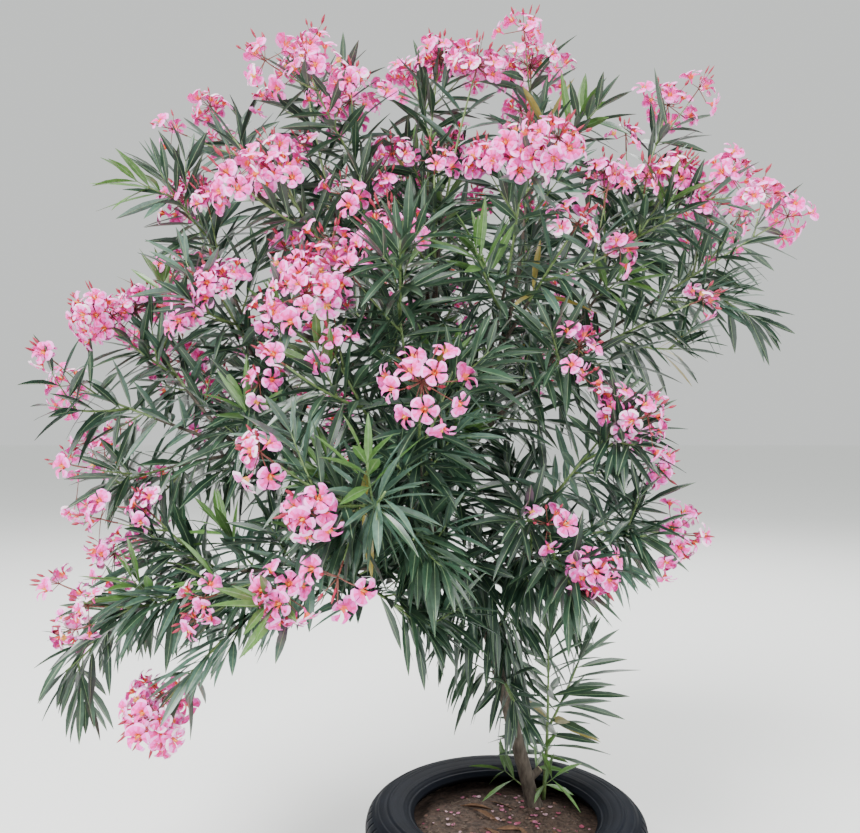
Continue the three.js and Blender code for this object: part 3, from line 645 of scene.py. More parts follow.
def habit(mass_name):
    return HABITS[BOUGH_HABITS.get(MASSES[mass_name].bough, "open")]


def spray_tint(chance):
    """The tint of a whole spray of leaves: most are mature, some darker, and some greyer and
    painted lighter as a painted sheen
    """
    pick = chance()
    return "mature" if pick < 0.42 else "dark" if pick < 0.74 else "grey"


def flower_tint(mood, pick):
    """Most clusters are fresh, older ones are paler, and a few flowers are nearly white"""
    if pick < 0.03 + 0.06 * mood:
        return "faded"
    return "pale" if pick < 0.12 + 0.25 * mood else "fresh"


class Growth:
    """What grows on the twigs, region by region"""

    def __init__(self, settings):
        self.settings = settings
        self.leaves = {region: [] for region in REGIONS}
        self.flowers = {region: [] for region in REGIONS}
        self.buds = []
        self.stalks = []

    def add_leaf(self, region, root, direction, droop, size, tint, chance,
                 most_roll=LEAF["roll"]):
        """One leaf, unless it leaves the plant's space, meets the pot or hangs below the crown"""
        axis = unit(direction - UP * droop)
        level, rising = square_to(axis)
        roll = math.radians(mix(-most_roll, most_roll, chance()))
        side = unit(level * math.cos(roll) + rising * math.sin(roll))
        length = self.settings.length * size
        tip = root + axis * length
        sag = mix(*LEAF["sag"], chance()) + LEAF["sag_by_droop"] * droop
        fold, twist = mix(*LEAF["fold"], chance()), mix(*LEAF["twist"], chance())
        width = self.settings.width * mix(*LEAF["width"], chance()) * size**0.4
        sagged = tip - UP * sag * length
        if in_reach(tip) and clear_of_pot(tip) and clear_of_pot(root) and above_edge(sagged):
            self.leaves[region].append(Leaf(root, axis, side, length, width, sag, fold, twist,
                                            tint))

    def add_whorls(self, twig, region):
        """Whorls of three leaves from below the end of a twig down to its bare foot"""
        chance = seeded(twig.seed * 3 + 1)
        low = LOW_SHOOTS.get(twig.mass, {})
        spray = low.get("tint", spray_tint(chance))
        young = not (twig.blooming or low) and chance() < WHORL["young"]
        young = young and twig.path.tangent(1)[2] > WHORL["upright"]
        gap = self.settings.spacing * (low or habit(twig.mass))["gap"]
        place = WHORL["below_bloom"] if twig.blooming else WHORL["below_bud"]
        index = 0
        while place < twig.path.length * LEAFY[twig.order]:
            tint = "young" if young and index < WHORL["young_whorls"] else spray
            tint = "yellow" if chance() < WHORL["yellow"] else tint
            self.add_whorl(twig, region, place, WHORL["turn"] * index, tint, chance, low)
            place += gap * mix(0.75, 1.25, chance())
            index += 1

    def add_whorl(self, twig, region, place, turn, tint, chance, low):
        """Three leaves round a twig, at a distance from its end"""
        share = 1 - place / twig.path.length
        root, along = twig.path.at(share), twig.path.tangent(share)
        age = min(place / WHORL["old_at"], 1.0)
        turn += 25 * chance()
        grown = min(WHORL["first_size"] + place / WHORL["size_gain"], 1.0) * low.get("size", 1)
        spread = mix(*WHORL["spread"], age**0.6)
        droop = low.get("droop", droop_at(root[2]))
        droop *= WHORL["young_droop"] if tint == "young" else 1
        for leaf in range(3):
            direction = splayed(along, spread + mix(-8, 10, chance()),
                                turn + 120 * leaf + mix(-14, 14, chance()))
            hang = droop * mix(*LEAF["droop"], chance()) + WHORL["old_droop"] * age
            size = grown * mix(0.8, 1.08, chance())
            self.add_leaf(region, root, direction, hang, size, tint, chance,
                          low.get("roll", LEAF["roll"]))

    def add_cluster(self, twig, region, count):
        """A loose dome of flowers and buds on branching stalks at the end of a twig"""
        chance = seeded(twig.seed * 5 + 3)
        end, along = twig.path.at(1), twig.path.tangent(1)
        outward = unit(end - CROWN_MIDDLE)
        axis = unit(along + CLUSTER["outward"] * outward)
        heart = end + along * CLUSTER["rise"]
        mood = chance()
        reach = CLUSTER["radius"] + CLUSTER["growth"] * math.sqrt(count)
        reach *= mix(*CLUSTER["loose"], chance())
        longer = splayed(axis, 90, 360 * chance())
        stretch = mix(*CLUSTER["stretch"], chance())
        for index in range(count):
            polar = CLUSTER["open"] * math.sqrt((index + 0.4) / count)
            polar += mix(*CLUSTER["jitter"], chance())
            way = splayed(axis, polar, index * GOLDEN_ANGLE)
            arm = (way - axis * (way @ axis) * CLUSTER["flat"]) * reach
            arm = arm + longer * (arm @ longer) * stretch
            arm = arm * mix(*CLUSTER["out"], chance()) - UP * reach * CLUSTER["hang"]
            self.add_flower(region, heart, arm, way, outward, mood, chance)
        self.add_stalk(end - along * STALK["inside"], heart + axis * 2, along, STALK["main"])
        self.add_buds(heart, axis, reach, BUDS["fewest"] + count // 2, chance)

    def add_flower(self, region, heart, arm, way, outward, mood, chance):
        """One open flower on its stalk, an arm's length from the heart of its cluster"""
        centre = heart + arm
        askew = np.array([mix(*FLOWER["askew"], chance()) for _ in range(3)])
        facing = unit(way + FLOWER["outward"] * outward + FLOWER["upward"] * UP + askew)
        tint = flower_tint(mood, chance())
        size = FLOWER["radius"] * mix(*FLOWER["sizes"], chance())
        if in_reach(centre):
            roll, cup = 72 * chance(), mix(*FLOWER["cup"], chance())
            self.flowers[region].append(Flower(centre, facing, roll, size, cup, tint))
            self.add_stalk(heart, centre - facing * size * FLOWER["back"], way)

    def add_stalk(self, start, end, way, girth=STALK["flower"]):
        bend = mix(start, end, 0.5) + way * STALK["bow"] - UP * STALK["hang"]
        self.stalks.append(Stalk(bezier(start, bend, end, 6), girth, girth * STALK["taper"]))

    def add_buds(self, heart, axis, reach, count, chance):
        for index in range(count):
            way = splayed(axis, mix(*BUDS["spread"], chance()), index * GOLDEN_ANGLE + 50)
            foot = heart + way * reach * mix(*BUDS["out"], chance())
            lean = unit(way + BUDS["lean"] * axis)
            length, girth = mix(*BUDS["length"], chance()), mix(*BUDS["girth"], chance())
            if in_reach(foot + lean * length):
                self.buds.append(Bud(foot, lean, length, girth))
                self.add_stalk(heart, foot + lean, way, STALK["bud"])


def bough_shoots(limbs):
    """Shoots along every bough, one golden angle after another, with darker, hanging leaves"""
    chance = seeded(4177)
    shoots = []
    for name in BOUGHS:
        path = limbs[name].path
        spacing = SHOOTS["high_spacing" if name in REGIONS["upper"] else "spacing"]
        count = round(path.length * (1 - SHOOTS["from"]) / spacing)
        for index in range(count):
            share = mix(SHOOTS["from"], 1, (index + 0.8 * chance()) / count)
            length = mix(*SHOOTS["length"], chance())
            droop = droop_at(path.at(share)[2]) + mix(*SHOOTS["more_droop"], chance())
            tint = "dark" if chance() < SHOOTS["dark"] else "mature"
            turn = index * GOLDEN_ANGLE + 60 * chance()
            spread = mix(*SHOOTS["spread"], chance())
            shoots.append(Shoot(share, turn, spread, length, droop, tint, name))
    return shoots


def region_of(bough):
    return next((region for region, boughs in REGIONS.items() if bough in boughs), "lower")


class Plant:
    """The whole plant: limbs, twigs, and what grows on them"""

    def __init__(self, settings):
        self.settings = settings
        self.limbs = plan_limbs()
        leaders = plan_leaders(self.limbs)
        self.space = Space(self.limbs, leaders)
        self.twigs = []
        self.growth = Growth(settings)
        for leader in leaders:
            self.grow_mass(leader)
        for index, shoot in enumerate([*TRUNK_SHOOTS, *bough_shoots(self.limbs)]):
            self.grow_shoot(shoot, 7001 + 53 * index)

    def sprigs_of(self, leader, sides):
        way = habit(leader.mass)
        gap = self.settings.sprigs * way["sprig_gap"]
        grown = sprigs(leader, self.space, gap, way["first"], way["bloom"], SPRIG["on_leader"])
        for side in sides:
            grown += sprigs(side, self.space, gap, SPRIG["first_on_side"], way["bloom"],
                            SPRIG["on_side"])
        return grown

    def grow_mass(self, leader):
        mass = MASSES.get(leader.mass)
        region = region_of(mass.bough) if mass else "lower"
        sides = side_twigs(leader, self.space)
        fine = [] if leader.mass in LOW_SHOOTS else self.sprigs_of(leader, sides)
        for twig in [leader, *sides, *fine]:
            self.twigs.append(twig)
            self.growth.add_whorls(twig, region)
            if twig.blooming:
                flowers = mass.flowers * CLUSTER["shares"][twig.order] * self.settings.fullness
                self.growth.add_cluster(twig, region, max(2, round(flowers)))

    def grow_shoot(self, shoot, seed):
        """A short leafy shoot straight from a limb, whose leaves hang"""
        path = side_twig(self.limbs[shoot.limb], shoot.share, shoot.turn, shoot.spread,
                         shoot.length, SHOOTS["rise"])
        self.twigs.append(Twig(path, SHOOTS["foot"], SHOOTS["tip"], None, seed, False, 2))
        chance = seeded(seed)
        spacing = self.settings.spacing
        grown = SHOOTS["young_size"] if shoot.tint == "young" else 1
        for index in range(int(shoot.length / spacing)):
            share = 1 - index * spacing / shoot.length
            root, along = path.at(share), path.tangent(share)
            for leaf in range(3):
                direction = splayed(along, mix(*SHOOTS["leaf_spread"], chance()),
                                    WHORL["turn"] * index + 120 * leaf + 30 * chance())
                size = mix(*SHOOTS["leaf_size"], chance()) * grown
                droop = shoot.droop * mix(*LEAF["droop"], chance())
                self.growth.add_leaf(region_of(shoot.limb), root, direction, droop, size,
                                     shoot.tint, chance)


# Meshes

class Batch:
    """Points and faces of many shapes, gathered for one piece"""

    def __init__(self, *first):
        self.points = []
        self.faces = []
        self.finishes = []
        self.count = 0
        if first:
            self.add(*first)

    def add(self, points, faces, finishes=0):
        """points is (shapes, points, 3), and every shape has the same faces"""
        points = np.asarray(points)
        shapes, size = points.shape[:2]
        offsets = self.count + np.arange(shapes) * size
        self.points.append(points.reshape(-1, 3))
        self.faces.append((faces[None] + offsets[:, None, None]).reshape(-1, faces.shape[1]))
        self.finishes.append(np.broadcast_to(finishes, (shapes, len(faces))).reshape(-1))
        self.count += shapes * size


def linked(name, data):
    """A new object in the scene"""
    item = bpy.data.objects.new(name, data)
    bpy.context.scene.collection.objects.link(item)
    return item


def place_piece(name, mesh, nodes=()):
    """One named piece that rides on the root body, with the solids it stands for"""
    piece = linked(name, mesh)
    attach(piece, "root")
    if nodes:
        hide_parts(*nodes)
    return piece


def piece_from(name, batch, finishes, nodes=(), smooth=True):
    """A piece whose mesh is filled from a batch"""
    mesh = bpy.data.meshes.new(name)
    points = np.concatenate(batch.points) * MM
    sizes = np.concatenate([np.full(len(faces), faces.shape[1]) for faces in batch.faces])
    corners = np.concatenate([faces.ravel() for faces in batch.faces])
    starts = np.concatenate(([0], np.cumsum(sizes)[:-1]))
    mesh.vertices.add(len(points))
    mesh.vertices.foreach_set("co", points.astype(np.float32).ravel())
    mesh.loops.add(len(corners))
    mesh.loops.foreach_set("vertex_index", corners.astype(np.int32))
    mesh.polygons.add(len(sizes))
    mesh.polygons.foreach_set("loop_start", starts.astype(np.int32))
    for material in finishes:
        mesh.materials.append(material)
    mesh.polygons.foreach_set("material_index", np.concatenate(batch.finishes).astype(np.int32))
    mesh.polygons.foreach_set("use_smooth", np.full(len(sizes), smooth))
    mesh.update(calc_edges=True)
    mesh.validate()
    return place_piece(name, mesh, nodes)


def quads(rows, columns, ringed=False, looped=False):
    """Quads over rows of points. The rows may be rings, and the last may meet the first."""
    row, column = np.meshgrid(np.arange(rows if looped else rows - 1),
                              np.arange(columns if ringed else columns - 1), indexing="ij")
    low, high = row * columns, (row + 1) % rows * columns
    after = (column + 1) % columns
    return np.stack([low + column, low + after, high + after, high + column], -1).reshape(-1, 4)


# The radius at which a tube's ends are drawn to a point
PINCH = 0.02


def tube(path, radius_at, kind, level_foot=False):
    """Points and faces along a path, closed at both ends, and cut level at its foot if asked"""
    sides, steps = TUBE_MESH[kind]
    angles = 2 * np.pi * np.arange(sides) / sides
    normal = square_to(path.tangent(0))[0]
    rings = []
    for step in range(steps + 1):
        share = step / steps
        tangent = path.tangent(share)
        normal = unit(normal - tangent * (normal @ tangent))
        arms = (np.outer(np.cos(angles), normal)
                + np.outer(np.sin(angles), across(tangent, normal)))
        if level_foot and step == 0:
            arms[:, 2] = 0
            arms /= np.linalg.norm(arms, axis=1)[:, None]
        radii = [PINCH] * (step == 0) + [radius_at(share)] + [PINCH] * (step == steps)
        rings += [path.at(share) + arms * radius for radius in radii]
    return np.concatenate(rings), quads(len(rings), sides, True)


def column(items, field):
    """One field of many leaves, flowers or buds, as rows of numbers"""
    return np.array([getattr(item, field) for item in items], float)


# Where a leaf's cross-sections lie along it, and how wide each is
LEAF_SECTIONS = np.array([0, 0.07, 0.24, 0.47, 0.7, 0.88, 1])
LEAF_WIDTHS = np.array([0.13, 0.2, 0.7, 1, 0.82, 0.4, 0.04])
RIB_HALF_WIDTH = 0.75
RIB_DEPTH = 0.3


def leaf_points(leaves):
    """Folded, sagging and slightly twisted blades, four points across each section"""
    root, axis, side = (column(leaves, field)[:, None] for field in ("root", "axis", "side"))
    length, width, sag, fold, twist = (column(leaves, field)[:, None, None] for field in
                                       ("length", "width", "sag", "fold", "twist"))
    side = side - axis * (side * axis).sum(2, keepdims=True)
    side /= np.linalg.norm(side, axis=2, keepdims=True)
    normal = np.cross(axis, side)
    upside = np.where(normal[..., 2:] < 0, -1.0, 1.0)
    side, normal = side * upside, normal * upside
    share = LEAF_SECTIONS[None, :, None]
    down = -UP + axis * axis[..., 2:]
    centre = root + length * (axis * share * (1 - 0.2 * sag * share) + down * sag * share**2)
    turn = np.radians(twist) * share
    across_leaf = side * np.cos(turn) + normal * np.sin(turn)
    above_leaf = normal * np.cos(turn) - side * np.sin(turn)
    half = width / 2 * LEAF_WIDTHS[None, :, None]
    rib = np.minimum(RIB_HALF_WIDTH * (1 - 0.6 * share), half * 0.6)
    edges = [(-half, half * fold), (-rib, -RIB_DEPTH), (rib, -RIB_DEPTH), (half, half * fold)]
    points = [centre + across_leaf * out + above_leaf * lift for out, lift in edges]
    return np.stack(points, 2).reshape(len(leaves), -1, 3)


def leaf_piece(name, leaves, finishes, nodes=()):
    faces = quads(len(LEAF_SECTIONS), 4)
    blades = np.array([LEAF_TINTS.index(leaf.tint) for leaf in leaves])
    finish = np.repeat(blades[:, None], len(faces), 1)
    finish[:, 1::3] = RIB
    return piece_from(name, Batch(leaf_points(leaves), faces, finish), finishes,
                      nodes)


# A petal's rows from throat to edge: how far out, how high, and its half-width and lean about
# the flower's middle in degrees
PETAL_ROWS = [(0.11, -0.42, 34, 0), (0.27, -0.08, 25, 1), (0.50, 0.06, 25, 3),
              (0.84, 0.05, 30, 6), (1.00, -0.06, 21, 10)]
PETAL_EDGE = (0.93, 1.0, 1.03, 0.97)
PETAL_COLUMNS = (-1, -0.26, 0.26, 1)
# The zone of each of a petal's faces, three to a row, with a deeper streak up its middle
PETAL_ZONES = [0, 0, 0, 1, 1, 1, 2, 1, 2, 3, 3, 3]
TINT_FINISHES = {
    "fresh": (THROAT, DEEP, MIDDLE, EDGE),
    "pale": (THROAT, DEEP, EDGE, FADED),
    "faded": (HEART, MIDDLE, EDGE, FADED),
}
# The tube behind a flower and the heart in its throat, as radii and heights
FLOWER_TUBE = [(0.11, -0.4), (0.09, -0.62), (0.05, -0.85)]
FLOWER_HEART = [(0.10, -0.36), (0.06, 0.04)]
CUPPED_ABOVE = -0.2
# A bud's rows, as radii and heights
BUD_ROWS = [(0.15, 0.0), (0.85, 0.25), (1.0, 0.5), (0.55, 0.82), (0.05, 1.0)]


def petal_points(turn):
    points = []
    for row, (out, height, half_width, lean) in enumerate(PETAL_ROWS):
        for across_petal, edge in zip(PETAL_COLUMNS, PETAL_EDGE):
            angle = math.radians(turn + lean + half_width * across_petal)
            reach = out * (edge if row == len(PETAL_ROWS) - 1 else 1)
            lift = height + 0.09 * across_petal * (row > 0) - 0.05 * across_petal**2
            points.append(about_axis(reach, angle, lift))
    return points


def five_sided(rows):
    """A ring of five points for each radius and height"""
    return [about_axis(out, math.radians(72 * corner), height)
            for out, height in rows for corner in range(5)]


def flower_shape():
    """Points and faces of one flower of unit radius that faces +Z, and each face's zone"""
    patches = [(petal_points(72 * petal), quads(5, 4), PETAL_ZONES) for petal in range(5)]
    for zone, rows in ((4, FLOWER_TUBE), (5, FLOWER_HEART)):
        faces = quads(len(rows), 5, True)
        patches.append((five_sided(rows), faces, [zone] * len(faces)))
    points, faces, zones = [], [], []
    for patch_points, patch_faces, patch_zones in patches:
        faces += (patch_faces + len(points)).tolist()
        points += patch_points
        zones += patch_zones
    return np.array(points), np.array(faces), np.array(zones)


def frames_about(facings, rolls):
    """Two directions square to each facing, turned by a roll"""
    level = np.cross(np.tile(UP, (len(facings), 1)), facings)
    level[np.linalg.norm(level, axis=1) < 0.05] = (1.0, 0.0, 0.0)
    level -= facings * (level * facings).sum(1, keepdims=True)
    level /= np.linalg.norm(level, axis=1, keepdims=True)
    rising = np.cross(facings, level)
    turn = np.radians(rolls)[:, None]
    return (level * np.cos(turn) + rising * np.sin(turn),
            rising * np.cos(turn) - level * np.sin(turn))


def turned_copies(shape, places, facings, rolls, width, height):
    """Copies of a shape that faces +Z, each turned to its facing and scaled to its size"""
    right, rising = frames_about(facings, rolls)
    flat = right[:, None] * shape[:, :1] + rising[:, None] * shape[:, 1:2]
    return places[:, None] + width * flat + facings[:, None] * (shape[:, 2:] * height)


def flower_piece(name, flowers, finishes):
    shape, faces, zones = flower_shape()
    radius, cup = (column(flowers, field)[:, None, None] for field in ("radius", "cup"))
    height = radius * np.where(shape[:, 2:] > CUPPED_ABOVE, cup, 1)
    points = turned_copies(shape, column(flowers, "centre"), column(flowers, "facing"),
                           column(flowers, "roll"), radius, height)
    dealt = np.array([(*TINT_FINISHES[flower.tint], DEEP, HEART) for flower in flowers])
    return piece_from(name, Batch(points, faces, dealt[:, zones]), finishes)


def bud_batch(buds):
    girth, length = (column(buds, field)[:, None, None] for field in ("girth", "length"))
    points = turned_copies(np.array(five_sided(BUD_ROWS)), column(buds, "foot"),
                           column(buds, "axis"), np.zeros(len(buds)), girth, length)
    return Batch(points, quads(len(BUD_ROWS), 5, True))


def stalk_batch(stalks):
    batch = Batch()
    for stalk in stalks:
        points, faces = tube(stalk.path, tapering(stalk.foot, stalk.tip), "stalk")
        batch.add([points], faces)
    return batch


def twig_batch(twigs):
    """Tubes of the twigs: bark on older wood, green on young stems"""
    batch = Batch()
    for twig in twigs:
        leads, basal = twig.order == 0, twig.mass == "basal_shoot"
        points, faces = tube(twig.path, tapering(twig.foot, twig.tip * 0.6),
                             "leader" if leads else "fine", leads and basal)
        finish = np.full(len(faces), YOUNG_STEM)
        if leads and not basal:
            finish[:len(faces) // 2] = BARK
        batch.add([points], faces, finish)
    return batch


# The trunk and boughs as one skin with bark relief

def bark_relief(point):
    """Shallow furrows along the stem, raised pores and slow swellings, in millimetres"""
    x, y, z = point
    furrow = noise.noise(Vector((x / 5, y / 5, z / 34)))
    pore = noise.noise(Vector((x / 2.6, y / 2.6, z / 3.4)) + Vector((9, 4, 2)))
    swell = noise.noise(Vector(point) / 42)
    return 0.55 * furrow + 0.8 * max(0.0, pore - 0.28) + 1.1 * swell


def stub_path(trunk):
    start = trunk.path.at(STUB["share"])
    lift, turn = math.radians(STUB["lift"]), math.radians(STUB["turn"])
    direction = about_axis(math.cos(lift), turn, math.sin(lift))
    return Path([start, start + direction * STUB["length"]])


def limb_skin(limbs, voxel):
    """Closed tubes of every limb, melted into one skin so that the forks are round"""
    batch = Batch()
    for name, limb in limbs.items():
        kind = "trunk" if name == "trunk" else "bough"
        points, faces = tube(limb.path, limb.radius_at, kind, name == "trunk")
        batch.add([points], faces)
    points, faces = tube(stub_path(limbs["trunk"]), tapering(STUB["foot"], STUB["end"]), "stub")
    batch.add([points], faces)
    rough = piece_from("rough_limbs", batch, [])
    melt = rough.modifiers.new("Melt", "REMESH")
    melt.mode = "VOXEL"
    melt.voxel_size = voxel
    smooth = rough.modifiers.new("Smooth", "SMOOTH")
    smooth.iterations = 2
    graph = bpy.context.evaluated_depsgraph_get()
    mesh = bpy.data.meshes.new_from_object(rough.evaluated_get(graph))
    bpy.data.objects.remove(rough)
    return mesh


def raise_bark(mesh):
    """Moves the skin's points out by the bark's relief, and keeps the foot flat"""
    points, normals = (np.empty(len(mesh.vertices) * 3, np.float32) for _ in range(2))
    mesh.vertices.foreach_get("co", points)
    mesh.vertex_normals.foreach_get("vector", normals)
    points = points.reshape(-1, 3) / MM
    relief = np.array([bark_relief(point) for point in points])
    points += normals.reshape(-1, 3) * relief[:, None]
    points[:, 2] = np.maximum(points[:, 2], STEM_FOOT[2])
    mesh.vertices.foreach_set("co", (points * MM).ravel())


def finish_skin(mesh, stub):
    """Bark all over, and pale wood on the stub's cut end"""
    tip, along = stub.at(1), stub.tangent(1)
    for polygon in mesh.polygons:
        away = np.array(polygon.center) / MM - tip
        cut = np.linalg.norm(away) < STUB["end"] + 2 and away @ along > -1.2
        polygon.use_smooth = True
        polygon.material_index = CUT_WOOD if cut else BARK
    mesh.update()


# The tyre and its soil

# The steps along the section, and how far below its top the moulded rings end and the tread's
# edge lies
TYRE_STEPS = {"outside": 58, "inside": 6}
SIDEWALL = 38
SHOULDER = 40
# Rings moulded on the sidewall: radius, height and width
SIDEWALL_RINGS = [(212, 3.0, 3.0), (219, -1.6, 1.6), (231, 1.6, 1.3), (236, 1.6, 1.3),
                  (262, 2.2, 1.7), (268, -1.6, 1.7), (290, 2.8, 1.9), (296, -2.2, 1.5),
                  (304, 1.8, 1.7)]
# Grooves run round the tread at these heights. Each has its lips and its floor this far from
# its middle.
GROOVES = (44, 18, -18, -44)
GROOVE_WALLS = (5.2, 4, -4, -5.2)
# Leaning slots cross the tread's edges in equal pitches, and marks divide each pitch
TREAD = {"groove": 6.5, "slot": 5.5, "slot_from": 24, "slot_reach": 14, "pitches": 68,
         "lean": 0.09}
PITCH_MARKS = (0.0, 0.07, 0.11, 0.36, 0.62, 0.86, 0.96)
SLOT_MARKS = (0, 1)


def tyre_section():
    """The tyre's closed outline from bead over the tread to bead and back inside"""
    rim, bead, crown, wall = (TYRE[name] for name in ("outer", "bead", "crown", "wall"))
    top = TYRE["width"] / 2
    edge = top - SHOULDER
    crest = mix(bead, rim, 0.52)
    shoulder = centripetal([(bead, top - 23), (bead + 9, top - 14), (bead + 30, top - 4),
                            (crest - 12, top), (crest + 12, top), (rim - 18, top - 9),
                            (rim - 5, top - 22), (rim, edge)])
    lining = centripetal([(rim - crown, edge), (rim - crown - 18, top - wall - 6),
                          (crest - 14, top - wall), (bead + 5, top - wall - 22)])
    outside = shoulder.spaced(TYRE_STEPS["outside"])
    inside = lining.spaced(TYRE_STEPS["inside"])
    marks = [groove + step for groove in GROOVES for step in GROOVE_WALLS]
    tread = [(rim, mark) for mark in (edge - 3, *marks, 3 - edge)]
    flip = np.array([1, -1])
    return np.concatenate([outside, tread, outside[::-1] * flip, inside[::-1] * flip, inside])


def moulded(section):
    """The section with the sidewall's rings and the tread's grooves, and where slots cut it"""
    steps = np.roll(section, -1, 0) - np.roll(section, 1, 0)
    normal = np.stack([-steps[:, 1], steps[:, 0]], 1)
    normal /= np.linalg.norm(normal, axis=1, keepdims=True)
    out, up = section.T
    outer = np.arange(len(section)) < len(section) - 2 * (TYRE_STEPS["inside"] + 1)
    raised = sum(height * np.exp(-((out - radius) / width) ** 2)
                 for radius, height, width in SIDEWALL_RINGS)
    side = outer & (np.abs(up) > TYRE["width"] / 2 - SIDEWALL)
    out = out + np.where(side, raised * -np.sign(normal[:, 1] * up) * normal[:, 0], 0)
    up = up + np.where(side, raised * np.sign(up), 0)
    for groove in GROOVES:
        in_groove = outer & (np.abs(up - groove) < sum(GROOVE_WALLS[:2]) / 2)
        out = np.where(in_groove, out - TREAD["groove"], out)
    slotted = (outer & (np.abs(up) > TREAD["slot_from"])
               & (out > TYRE["outer"] - TREAD["slot_reach"]))
    return out, up, slotted


def tyre_points():
    """The moulded section turned round the axle, with its slots"""
    out, up, slotted = moulded(tyre_section())
    turns = (np.arange(TREAD["pitches"])[:, None] + np.array(PITCH_MARKS)).ravel()
    in_slot = np.isin(np.arange(len(turns)) % len(PITCH_MARKS), SLOT_MARKS)
    angles = np.radians(360 / TREAD["pitches"] * turns)[:, None] + np.radians(TREAD["lean"]) * up
    reach = out[None] - TREAD["slot"] * (in_slot[:, None] & slotted[None])
    height = np.broadcast_to(np.maximum(up + TYRE["width"] / 2, 0), reach.shape)
    return np.stack([reach * np.cos(angles), reach * np.sin(angles), height], -1)


# The soil's foot and its side in the casing, as radii and heights from the middle outwards
SOIL_CASING = [(0.01, 0), (205, 0), (205, 34), (210, 34), (248, 12), (283, 18), (301, 41),
               (301, SOIL["edge"] - 12)]
SOIL_RADIUS = 300.5
SOIL_MESH = {"sides": 200, "rings": 84}
# The soil is heaped about the stem, and its lumps have a height, a size and a layer of noise
HEAP = {"height": 5.5, "radius": 46}
LUMPS = ((5.0, 46, 0), (2.6, 15, 9), (1.5, 5.5, 4))


def soil_height(x, y):
    """The height of the soil's surface"""
    slope = (math.hypot(x, y) - SOIL["level_to"]) / SOIL["slope"]
    base = mix(SOIL["mound"], SOIL["edge"], min(max(slope, 0.0), 1.0))
    from_stem = (x - STEM_FOOT[0]) ** 2 + (y - STEM_FOOT[1]) ** 2
    heap = HEAP["height"] * math.exp(-from_stem / HEAP["radius"] ** 2)
    lumps = sum(height * noise.noise(Vector((x, y, layer)) / size)
                for height, size, layer in LUMPS)
    return base + heap + lumps - SOIL["sunk"]


def on_soil(x, y):
    return np.array([x, y, soil_height(x, y)])


def soil_batch():
    sides, rings = SOIL_MESH["sides"], SOIL_MESH["rings"]
    angles = 2 * np.pi * np.arange(sides) / sides
    points = [about_axis(out, angle, up) for out, up in SOIL_CASING for angle in angles]
    for ring in range(rings):
        out = SOIL_RADIUS * (1 - ring / (rings - 1)) ** 0.9 + 0.01
        points += [on_soil(*about_axis(out, angle)[:2]) for angle in angles]
    return Batch([points], quads(len(SOIL_CASING) + rings, sides, True))


def scattered(chance, most):
    """A place on the soil inside the bead"""
    angle, out = 2 * math.pi * chance(), most * math.sqrt(chance())
    return on_soil(*about_axis(out, angle)[:2])


def icosahedron():
    """Points and faces: a pole, two staggered rings of five, and a pole"""
    rings = [about_axis(0.8944, math.radians(72 * corner + shift), height)
             for height, shift in ((0.4472, 0), (-0.4472, 36)) for corner in range(5)]
    sides = [(corner, (corner + 1) % 5) for corner in range(5)]
    faces = [(0, 1 + a, 1 + b) for a, b in sides]
    faces += [(1 + a, 6 + a, 1 + b) for a, b in sides]
    faces += [(6 + a, 6 + b, 1 + b) for a, b in sides]
    faces += [(11, 6 + b, 6 + a) for a, b in sides]
    return np.array([(0, 0, 1), *rings, (0, 0, -1)]), np.array(faces)


# Litter lies within a distance of the tyre's axle. Crumbs and twig bits have a least size and
# are seldom much larger.
CRUMB = {"within": 200, "least": 1.1, "more": 5.0, "lumpy": (0.7, 1.2), "flat": (1, 1, 0.75)}
PETAL = {"within": 196, "size": (4, 11), "curl": (0.1, 0.7), "tilt": (-0.3, 0.3),
         "near_stem": 0.35, "pull": 0.6}
TWIG_BIT = {"within": 180, "least": 8, "more": 45, "girth": (0.6, 1.6), "bend": 1.5}
DRY_LEAF = {"within": 150, "length": (50, 90), "width": 12, "sag": 0.05, "fold": (0.4, 1.2),
            "twist": (-60, 60), "lift": 4, "tilt": (-0.4, 0.4)}
# A twig or leaf that would reach past this distance, to the bead, is turned round
BEAD_FOOT = 196


def crumb_batch(count):
    """Loose lumps of soil, most of them small"""
    chance = seeded(411)
    ball, faces = icosahedron()
    shapes = []
    for _ in range(count):
        size = CRUMB["least"] + CRUMB["more"] * chance() ** 3
        spot = scattered(chance, CRUMB["within"])
        scale = size * np.array([[mix(*CRUMB["lumpy"], chance())] for _ in ball])
        shapes.append(spot + ball * scale * CRUMB["flat"])
    return Batch(shapes, faces)


def curled_petal(chance):
    """One petal about its own middle, cupped and tilted"""
    turn, size = 2 * math.pi * chance(), mix(*PETAL["size"], chance())
    curl, tilt = mix(*PETAL["curl"], chance()), mix(*PETAL["tilt"], chance())
    points = []
    for along in np.arange(4) / 3:
        half = 0.42 * math.sin(math.pi * (0.16 + 0.7 * along))
        for side in mix(-half, half, np.arange(4) / 3):
            lift = curl * (side * side * 3 + (along - 0.5) ** 2) + 0.12 + tilt * side
            x, y = size * (along - 0.5), size * side * 1.5
            points.append((x * math.cos(turn) - y * math.sin(turn),
                           x * math.sin(turn) + y * math.cos(turn), size * lift))
    return np.array(points)


def fallen_petals(count, finishes):
    """Curled single petals that lie on the soil, most thickly near the stem"""
    chance = seeded(523)
    faces = quads(4, 4)
    shapes, dealt = [], []
    for _ in range(count):
        spot = scattered(chance, PETAL["within"])
        if chance() < PETAL["near_stem"]:
            spot = on_soil(*mix(spot[:2], np.array(STEM_FOOT[:2]), PETAL["pull"]))
        shapes.append(spot + curled_petal(chance))
        dealt.append([int(chance() * (finishes - 0.001))] * len(faces))
    return Batch(shapes, faces, dealt)


